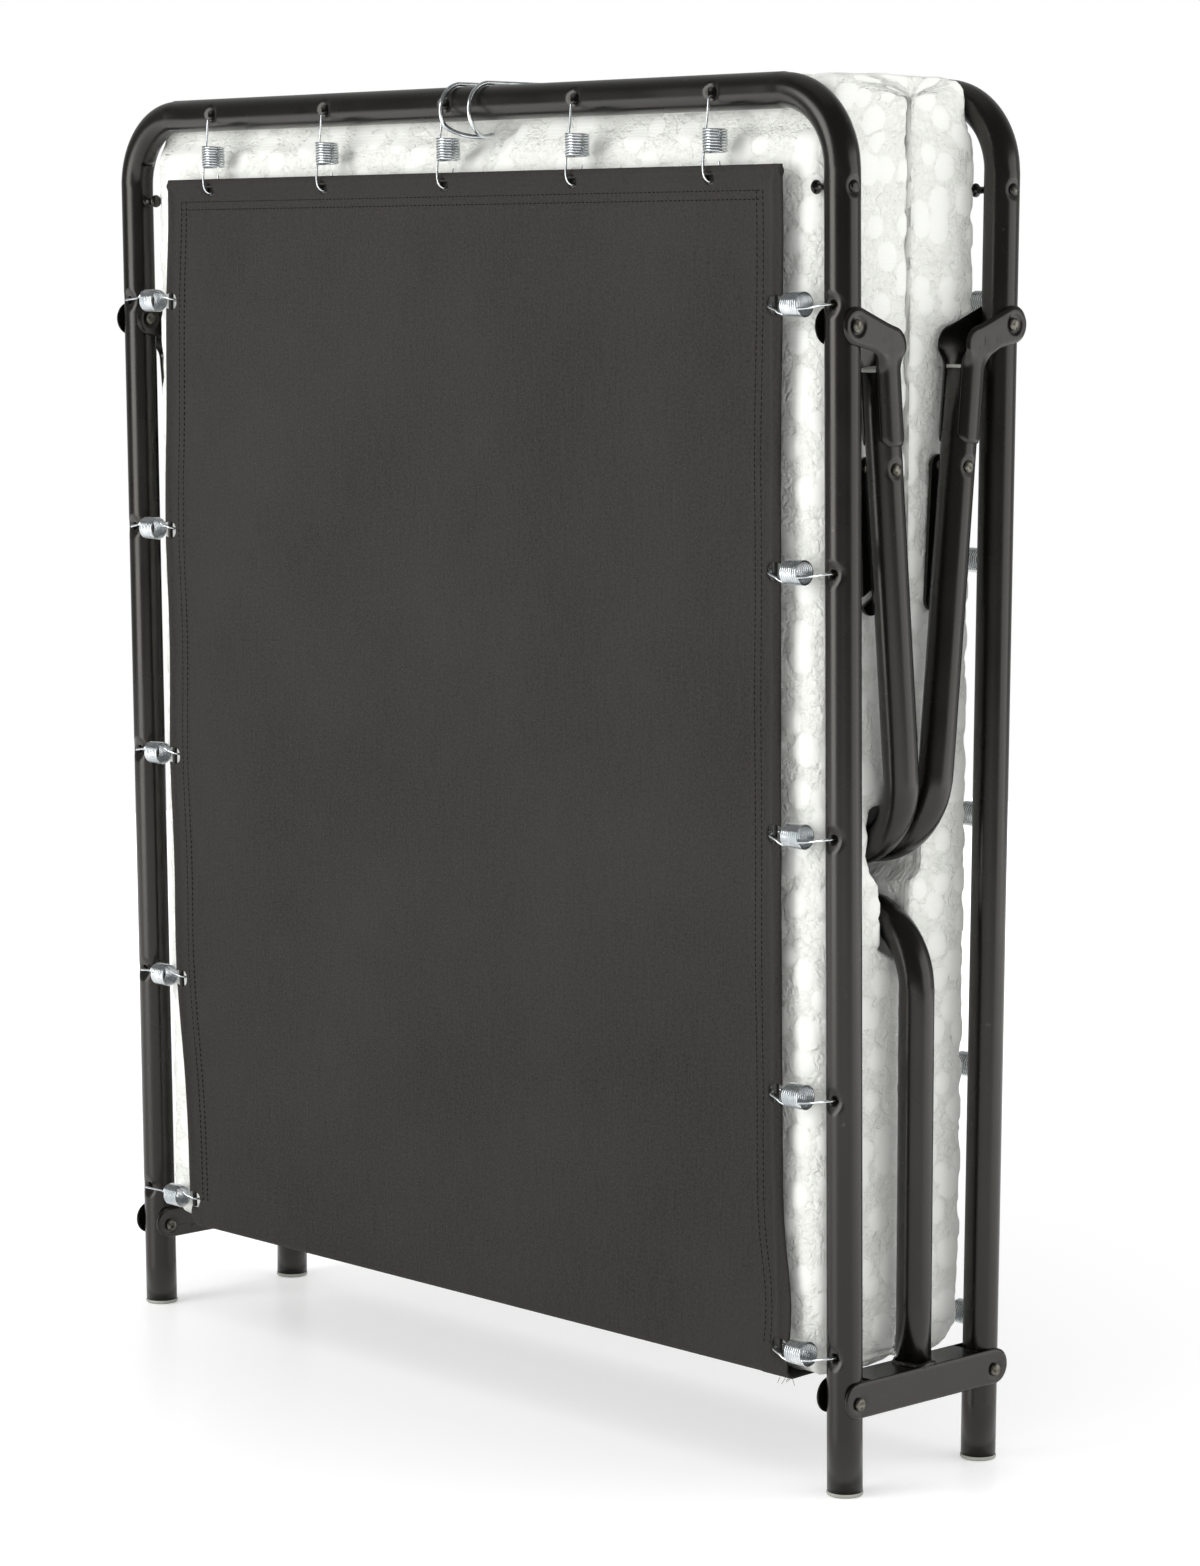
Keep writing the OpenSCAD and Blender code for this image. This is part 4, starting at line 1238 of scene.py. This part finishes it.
# Profiles of turned parts as (radius, height) in millimetres, from the inner end to the outer one. The
# head is the low domed one of the stay rivets and pegs. A peg is a ball-like end and a stem with a
# collar, and its face is the bright top of its head.
HEAD = [(2.5, 10.2), (4.2, 10.3), (4.3, 11.2), (3.9, 11.9), (2.6, 12.5), (1.2, 12.7), (0, 12.6)]
STAY_RIVET = [(0, -23.1), (3.6, -23.1), (4.5, -22.7), (4.5, -21.1), (2.5, -21.0), (2.5, -15.8),
              (4.5, -15.7), (4.5, -12.6), (2.5, -12.5)]
PEG = [(0, -26.5), (2.2, -26.4), (4.0, -25.7), (4.9, -24.4), (4.9, -23.7), (3.9, -22.7), (2.5, -22.4),
       (2.5, -13.4), (3.7, -13.1), (3.9, -12.4), (2.5, -12.3)]
PEG_FACE = [(0, 12.4), (2.4, 12.45), (2.5, 12.62), (1.2, 12.8), (0, 12.78)]
FOOT_CAP = [(0, 0.0), (10.6, 0.0), (12.2, 0.3), (12.9, 1.1), (12.95, 2.2), (12.7, 2.9), (12.2, 3.1),
            (10.8, 3.1), (10.8, 16.0), (9.6, 17.5), (0, 17.5)]
LEG_PLUG = [(0, -12.0), (9.6, -12.0), (10.8, -10.0), (10.8, 0.0), (12.3, 0.0), (12.5, 0.6), (12.5, 1.8),
            (12.0, 2.4), (10.5, 2.5), (9.5, 2.1), (0, 2.1)]
ALONG_X = Matrix.Rotation(math.pi / 2, 4, "Y")


def small_part(profile, material, sides=28, place=ALONG_X):
    """A turned part, along +X unless a place says otherwise, from (radius, height) in millimetres."""
    verts, faces = turned([(radius / 1000, height / 1000) for radius, height in profile], sides)
    return piece("part", verts, faces, material, place)


def rivet_profile(length, rise):
    """A set rivet between two faces: a domed head outside, and inside a rolled rim round a hollow."""
    head, hollow, shank, far = 4.6, 1.9, 2.9, length / 2
    profile = [(0, -far - rise * 0.5), (hollow, -far - rise * 0.55), (hollow * 1.15, -far - rise)]
    profile += [(head * 0.8, -far - rise), (head, -far - rise * 0.45), (head, -far), (shank, -far)]
    profile += [(shank, far), (head, far), (head, far + rise * 0.35), (head * 0.9, far + rise * 0.72),
                (head * 0.66, far + rise * 0.95), (head * 0.36, far + rise),
                (head * 0.2, far + rise * 0.93), (0, far + rise * 0.9)]
    return profile


def set_copies(name, part, spots, body, slot, *nodes):
    """Copies of one part at (place, turn) spots, as one piece on a body that stands for CAD nodes."""
    material = part.data.materials[0]
    points = lines(name, [[place] for place, _turn in spots])
    store_vectors(points, "turn", [turn for _place, turn in spots])
    grown(points, COPIES, Piece=part, Material=material)
    dress(points, body, slot, *nodes)
    bpy.data.objects.remove(part)


def facing(place, end):
    """The turn of a piece that points outward along X at one end of a leaning part."""
    turn = place.to_3x3() @ Matrix.Rotation(0 if end > 0 else math.pi, 3, "Z")
    if turn.determinant() < 0:
        turn = turn @ Matrix.Diagonal((1, -1, 1))
    return tuple(turn.to_euler())


def at_ends(place, y, z):
    """The spots (place, turn) at both ends of a leaning part, at its own y and z."""
    return [(place @ Vector((end * POST_X, y, z)), facing(place, end)) for end in ENDS]


def rivets():
    """The fold rivets of the hinge channels, and the pivot rivets of the folding legs."""
    spots = [((end * POST_X, side * FOLD_Y, FOLD_Z), facing(Matrix(), end)) for end in ENDS
             for side in (FRONT, BACK)]
    fold_rivet = small_part(rivet_profile(2 * (PLATE_IN + CHANNEL_T) - 0.7, 2.3), RIVET)
    set_copies("fold_rivet_set", fold_rivet, spots, "hinge_center", "rivet_steel", "fold_rivets")
    for side in (FRONT, BACK):
        name = NAMES[side]
        pivot_rivet = small_part(rivet_profile(2 * (PLATE_IN + 0.7), 1.7), RIVET)
        set_copies(name + "_pivot_rivets", pivot_rivet, at_ends(half(side), 0, LEG_RISE), name + "_half",
                   "rivet_steel", name + "_leg_rivets")


def pegs_and_stay_rivets():
    """The pegs on the posts that the stays' slots run on, and the rivets that hold the stays."""
    for side in (FRONT, BACK):
        name = NAMES[side]
        body = name + "_half"
        spots = at_ends(half(side), 0, LEG_RISE + PEG_RISE)
        set_copies(name + "_pegs", small_part(PEG + HEAD, ENAMEL), spots, body, "black_steel",
                   name + "_stay_pegs")
        if side == BACK:
            set_copies(name + "_peg_faces", small_part(PEG_FACE, RIVET, 20), spots, body, "rivet_steel")
        set_copies(name + "_stay_pins", small_part(STAY_RIVET + HEAD, RIVET),
                   at_ends(leg(side), LEG_OFFSET, -STAY_DROP), name + "_leg", "rivet_steel",
                   name + "_stay_rivets")


def caps_and_plugs():
    """The foot caps of the posts, and the plugs in the upper ends of the folding legs' tubes."""
    for side in (FRONT, BACK):
        name = NAMES[side]
        foot = half(side) @ Vector((0, 0, -FOLD_Z / math.cos(SPLAY)))
        spots = [((end * POST_X, foot.y, 0.0), (0, 0, 0)) for end in ENDS]
        set_copies(name + "_foot_cap_set", small_part(FOOT_CAP, PLASTIC, 40, None), spots, name + "_half",
                   "cap_plastic", name + "_foot_caps")
        tilt = -side * (SPLAY + LEG_LEAN)
        spots = [(leg(side) @ Vector((end * POST_X, LEG_OFFSET, -LEG_END)), (tilt, 0, 0)) for end in ENDS]
        set_copies(name + "_plug_set", small_part(LEG_PLUG, PLASTIC, 40, None), spots, name + "_leg",
                   "cap_plastic", name + "_leg_plugs")


rivets()
pegs_and_stay_rivets()
caps_and_plugs()


# ---------------------------------------------------------------- mattress

MATTRESS_X = 0.3665
MATTRESS_LOW = 0.0763
MATTRESS_TOP = 0.9750
CREASE_Y = 0.0090
CREASE_HALF = 0.0012
CENTER_POCKET = (0.3715, 0.4725, 0.0145)
LEG_POCKET = (0.4270, 0.4725, 0.0266)
LAYER_LOW_Y = 0.0747
LAYER_HIGH_Y = 0.0790
SHOULDER_Z = 0.926
SHOULDER = ((0.0788, SHOULDER_Z), (0.0765, 0.933), (0.0708, 0.938), (0.0680, 0.945), (0.0673, 0.953),
            (0.0664, 0.961), (0.0640, 0.968), (0.0570, 0.9735))
FOLD_INNER_Z = 0.960
CORNER_R = 0.024


def outer_line(side, step, fine_step):
    """The outside of one layer seen from the side, from its lower inner corner to near the top middle."""
    first = CREASE_Y + side * 0.011
    edge = side * (LAYER_LOW_Y - CORNER_R)
    line = [(CREASE_Y + side * 0.004, MATTRESS_LOW + 0.0035)]
    line += [(first + (edge - first) * i / 4, MATTRESS_LOW + (0.0006 if i == 0 else 0)) for i in range(5)]
    for i in range(1, 6):
        turn = math.pi / 2 * i / 5
        line.append((edge + side * CORNER_R * math.sin(turn),
                     MATTRESS_LOW + CORNER_R * (1 - math.cos(turn))))
    height = MATTRESS_LOW + CORNER_R
    while height < SHOULDER_Z - 0.012:
        height += fine_step if CENTER_POCKET[0] - 0.02 < height < LEG_POCKET[1] + 0.012 else step
        rise = (height - MATTRESS_LOW - CORNER_R) / (SHOULDER_Z - MATTRESS_LOW - CORNER_R)
        line.append((side * (LAYER_LOW_Y + (LAYER_HIGH_Y - LAYER_LOW_Y) * rise), height))
    line += [(side * y, z) for y, z in SHOULDER]
    line += [(side * y, MATTRESS_TOP) for y in (0.046, 0.035, 0.024, 0.013)]
    return line


def inner_y(side, z):
    """Where a layer's inner face lies: at the crease, or off the crossbars in the pockets round them."""
    y = CREASE_Y + side * CREASE_HALF
    for low, high, half_width in (CENTER_POCKET, LEG_POCKET):
        share = smoothstep(low - 0.008, low, z) * smoothstep(high + 0.008, high, z)
        y += (side * half_width - y) * share
    return y


def mattress_rows(step, layers):
    """Points (y, z, distance round the outside) from the inner to the outer face, at each station
    along the folded strip of foam."""
    front, back = outer_line(FRONT, step, step / 2), outer_line(BACK, step, step / 2)
    section = front + [(CREASE_Y / 2, MATTRESS_TOP - 0.0008)] + list(reversed(back))
    middle = len(front)
    inner_low = MATTRESS_LOW + 0.004
    rows, run = [], 0.0
    for k, (y, z) in enumerate(section):
        if k:
            run += math.dist(section[k - 1], (y, z))
        inner_z = max(inner_low, min(z, FOLD_INNER_Z))
        if z < MATTRESS_LOW + 0.02:
            inner_z = inner_low + abs(y - CREASE_Y) * 0.12
        inner = (inner_y(FRONT if k < middle else BACK, inner_z), inner_z)
        if k == middle:
            inner = (CREASE_Y, FOLD_INNER_Z)
        rows.append([(inner[0] + (y - inner[0]) * t / layers, inner[1] + (z - inner[1]) * t / layers, run)
                     for t in range(layers + 1)])
    return rows


def mattress():
    """The foam mattress in its quilted knit cover, folded over the crossbars."""
    columns, layers = 84, 8
    rows = mattress_rows(0.0085, layers)
    last = len(rows) - 1
    verts, places, numbers, faces = [], [], {}, []

    def number(i, k, t):
        """The number of the point in column i, row k and layer t, which is added when first asked for."""
        if (i, k, t) not in numbers:
            y, z, run = rows[k][t]
            x = MATTRESS_X * (2 * i / columns - 1)
            at_end = i in (0, columns)
            beyond = math.copysign(math.dist(rows[k][t][:2], rows[k][layers][:2]), x) if at_end else 0.0
            inside = 3.0 if t < layers and not at_end else 0.0
            numbers[i, k, t] = len(verts)
            verts.append((x, y, z))
            places.append((x + beyond, run + inside, 0.0))
        return numbers[i, k, t]

    def quad(i, k, t, along, up):
        """A face from its first corner and its two sides, each a step in columns, rows or layers."""
        steps = ((0, 0, 0), along, tuple(a + b for a, b in zip(along, up)), up)
        faces.append(tuple(number(i + a, k + b, t + c) for a, b, c in steps))
    for k in range(last):
        for i in range(columns):
            quad(i, k, layers, (1, 0, 0), (0, 1, 0))
            quad(i, k + 1, 0, (1, 0, 0), (0, -1, 0))
        for t in range(layers):
            quad(0, k, t, (0, 0, 1), (0, 1, 0))
            quad(columns, k + 1, t, (0, 0, 1), (0, -1, 0))
    for t in range(layers):
        for i in range(columns):
            quad(i, 0, t, (1, 0, 0), (0, 0, 1))
            quad(i, last, t + 1, (1, 0, 0), (0, 0, -1))
    pad = piece("foam_mattress", verts, faces, COVER)
    store_vectors(pad, "cover_place", places)
    held = pad.vertex_groups.new(name="held")
    held.add([n for (i, k, t), n in numbers.items() if t == 0], 1.0, "REPLACE")
    start = [v.co.copy() for v in pad.data.vertices]
    plump(pad)
    settle(pad, start)
    round_off = pad.modifiers.new("round", "SUBSURF")
    round_off.levels = 1
    round_off.render_levels = 1
    bake(pad)
    grown(pad, QUILT, **{"Disc rise": 0.0013, "Pucker": 0.0050, "Material": COVER})
    dress(pad, "mattress", "knit_cover", "mattress")


def plump(pad):
    """Blows the cover up a little as cloth, so that it crowns and wrinkles as foam in a cover does."""
    modifier = pad.modifiers.new("cover", "CLOTH")
    cover = modifier.settings
    cover.use_pressure = True
    cover.uniform_pressure_force = 4.0
    cover.effector_weights.gravity = 0.0
    cover.vertex_group_mass = "held"
    cover.quality = 4
    modifier.collision_settings.use_collision = False
    scene = bpy.context.scene
    for number in range(1, 21):
        scene.frame_set(number)
    bake(pad)
    scene.frame_set(1)


def crumpled(spot, first):
    """A point of the cover, given where it began, with the top's small lumps, the lower corners' soft
    folds and the corners drawn in."""
    at_end = smoothstep(0.30, 0.36, abs(first.x))
    lumps = noise.noise(first * 14) * 0.0016 + noise.noise(first * 45) * 0.0014
    spot.z += lumps * smoothstep(0.94, 0.97, first.z)
    place = Vector((first.x * 30, first.y * 55, first.z * 38))
    folds = Vector([noise.noise(place + Vector((shift, 0, 0))) for shift in (9.3, 31.7, 57.1)])
    spot += folds * 0.0045 * smoothstep(0.17, 0.085, first.z) * at_end
    spot.x -= math.copysign(0.008 * smoothstep(0.105, 0.078, first.z) * at_end, first.x)
    return spot


def settle(pad, start):
    """Caps the swelling, crumples the cover, and keeps it off the stay rivets at its ends, the floor
    of the fold, the latch over its top, and the sheets and bars before and behind it."""
    swelling = 0.005
    rivet_y, rivet_z = 0.0365, 0.7085
    under_bar_z, under_bar_y = 0.940, 0.0676
    for vert, first in zip(pad.data.vertices, start):
        move = vert.co - first
        if move.length > swelling:
            move *= swelling / move.length
        spot = crumpled(first + move, first)
        from_rivet = math.hypot(abs(spot.y) - rivet_y, spot.z - rivet_z)
        flat_end = MATTRESS_X + 0.0009 - 0.0042 * smoothstep(0.021, 0.010, from_rivet)
        spot.x = math.copysign(min(abs(spot.x), flat_end), spot.x)
        from_latch = abs(spot.x - LATCH_X)
        top = MATTRESS_TOP + 0.0002 + 0.002 * smoothstep(0.05, 0.09, from_latch)
        spot.z = max(MATTRESS_LOW + 0.0002, min(top, spot.z))
        rise = min(1.0, max(0.0, (spot.z - 0.1) / 0.82))
        limit = LAYER_LOW_Y + (LAYER_HIGH_Y - LAYER_LOW_Y) * rise
        limit += 0.0030 * smoothstep(0.322, 0.30, abs(spot.x)) * smoothstep(0.90, 0.80, spot.z)
        limit -= 0.0055 * smoothstep(0.356, 0.3665, abs(spot.x))
        if spot.z > under_bar_z:
            limit = min(limit, under_bar_y)
        dent = 0.0125 * smoothstep(0.036, 0.022, from_latch) * smoothstep(0.922, 0.934, spot.z)
        spot.y = max(-limit + dent, min(limit, spot.y))
        vert.co = spot


mattress()


# ---------------------------------------------------------------- finish of the CAD pieces that stay

for side in (FRONT, BACK):
    for end in ("left", "right"):
        stay = frame["nodes"][NAMES[side] + "_stay_" + end]
        stay.data.materials.clear()
        stay.data.materials.append(ENAMEL)


# ---------------------------------------------------------------- floor, light and camera

def mirrored_rays(tree, path):
    """A node that gives 1 for the rays by which metal sees, from a Light Path node's outputs."""
    return add(tree, "ShaderNodeMath", {0: path["Is Glossy Ray"], 1: path["Is Transmission Ray"]},
               operation="MAXIMUM")


def floor():
    """A white floor that keeps the cot's soft shadow."""
    size = 3.0
    plane = piece("floor", [(-size, -size, 0), (size, -size, 0), (size, size, 0), (-size, size, 0)],
                  [(0, 1, 2, 3)], floor_paint(), smooth=False)


def floor_paint():
    """Lit white paint, with the white of the background added for what the camera and metal see, and
    more of it further off, where the lamps no longer reach."""
    material, tree, where = new_material("floor_paint")
    paint = add(tree, "ShaderNodeBsdfPrincipled", {"Base Color": linear("#f4f4f4"), "Roughness": 0.3,
                                                   "Specular IOR Level": 0.15})
    path = add(tree, "ShaderNodeLightPath").outputs
    by_metal = mirrored_rays(tree, path)
    seen = add(tree, "ShaderNodeMath", {0: path["Is Camera Ray"], 1: by_metal}, operation="MAXIMUM")
    reach = add(tree, "ShaderNodeVectorMath", {0: where}, operation="LENGTH").outputs["Value"]
    far_white = add(tree, "ShaderNodeMapRange", {0: reach, 1: 0.9, 2: 2.6, 3: 0.3, 4: 0.95})
    level = add(tree, "ShaderNodeMath", {0: seen, 1: far_white}, operation="MULTIPLY")
    glow = add(tree, "ShaderNodeEmission", {"Color": linear("#ffffff"), "Strength": level})
    both = add(tree, "ShaderNodeAddShader", {0: paint, 1: glow})
    add(tree, "ShaderNodeOutputMaterial", {"Surface": both})
    return material


def world():
    """Even studio light. The camera sees a white background all round. Metal sees that white on the
    far side of the set, and the dimmer studio elsewhere."""
    ground = bpy.data.worlds.new("studio")
    bpy.context.scene.world = ground
    ground.use_nodes = True
    tree = ground.node_tree
    tree.nodes.clear()
    away = add(tree, "ShaderNodeTexCoord").outputs["Generated"]
    facing_far = add(tree, "ShaderNodeVectorMath", {0: away, 1: (-0.68, 0.73, 0.0)},
                     operation="DOT_PRODUCT").outputs["Value"]
    far_side = add(tree, "ShaderNodeMapRange", {0: facing_far, 1: 0.1, 2: 0.75, 3: 0.14, 4: 0.5})
    path = add(tree, "ShaderNodeLightPath").outputs
    seen_by_metal = add(tree, "ShaderNodeMix", {0: mirrored_rays(tree, path), 2: 0.8, 3: far_side},
                        data_type="FLOAT")
    level = add(tree, "ShaderNodeMix", {0: path["Is Camera Ray"], 2: seen_by_metal, 3: 1.0},
                data_type="FLOAT")
    light = add(tree, "ShaderNodeBackground", {"Color": linear("#ffffff"), "Strength": level})
    add(tree, "ShaderNodeOutputWorld", {"Surface": light})


def softbox(name, azimuth, height, distance, size, power):
    """A soft lamp round the cot, (width, height) large and aimed at its middle. Azimuth 0 is +X and
    90 is +Y."""
    turn = math.radians(azimuth)
    lamp = bpy.data.lights.new(name, "AREA")
    lamp.shape = "RECTANGLE"
    lamp.size, lamp.size_y = size
    lamp.energy = power
    box = linked(name, lamp)
    box.location = (distance * math.cos(turn), distance * math.sin(turn), height)
    aim = Vector((0, 0, 0.5)) - box.location
    box.rotation_euler = aim.to_track_quat("-Z", "Y").to_euler()
    return box


def camera():
    """The view from the right and front, a little above the middle of the cot."""
    lens = bpy.data.cameras.new("camera")
    lens.lens = 98.36
    lens.sensor_width = 36.0
    lens.clip_end = 100.0
    view = linked("camera", lens)
    view.location = (2.3759, -2.1714, 0.8368)
    view.rotation_euler = (math.radians(83.282), 0, math.radians(46.767))
    bpy.context.scene.camera = view


camera()
floor()
world()
softbox("side_light", 30, 0.6, 3.0, (2.8, 2.4), 38)
softbox("front_light", -106, 1.1, 3.2, (1.9, 2.8), 80)
softbox("fill_light", -30, 0.5, 3.6, (2.4, 1.2), 22).visible_glossy = False
softbox("top_light", 0, 3.4, 0.1, (2.0, 2.0), 3)
bpy.context.scene.view_settings.view_transform = "Standard"
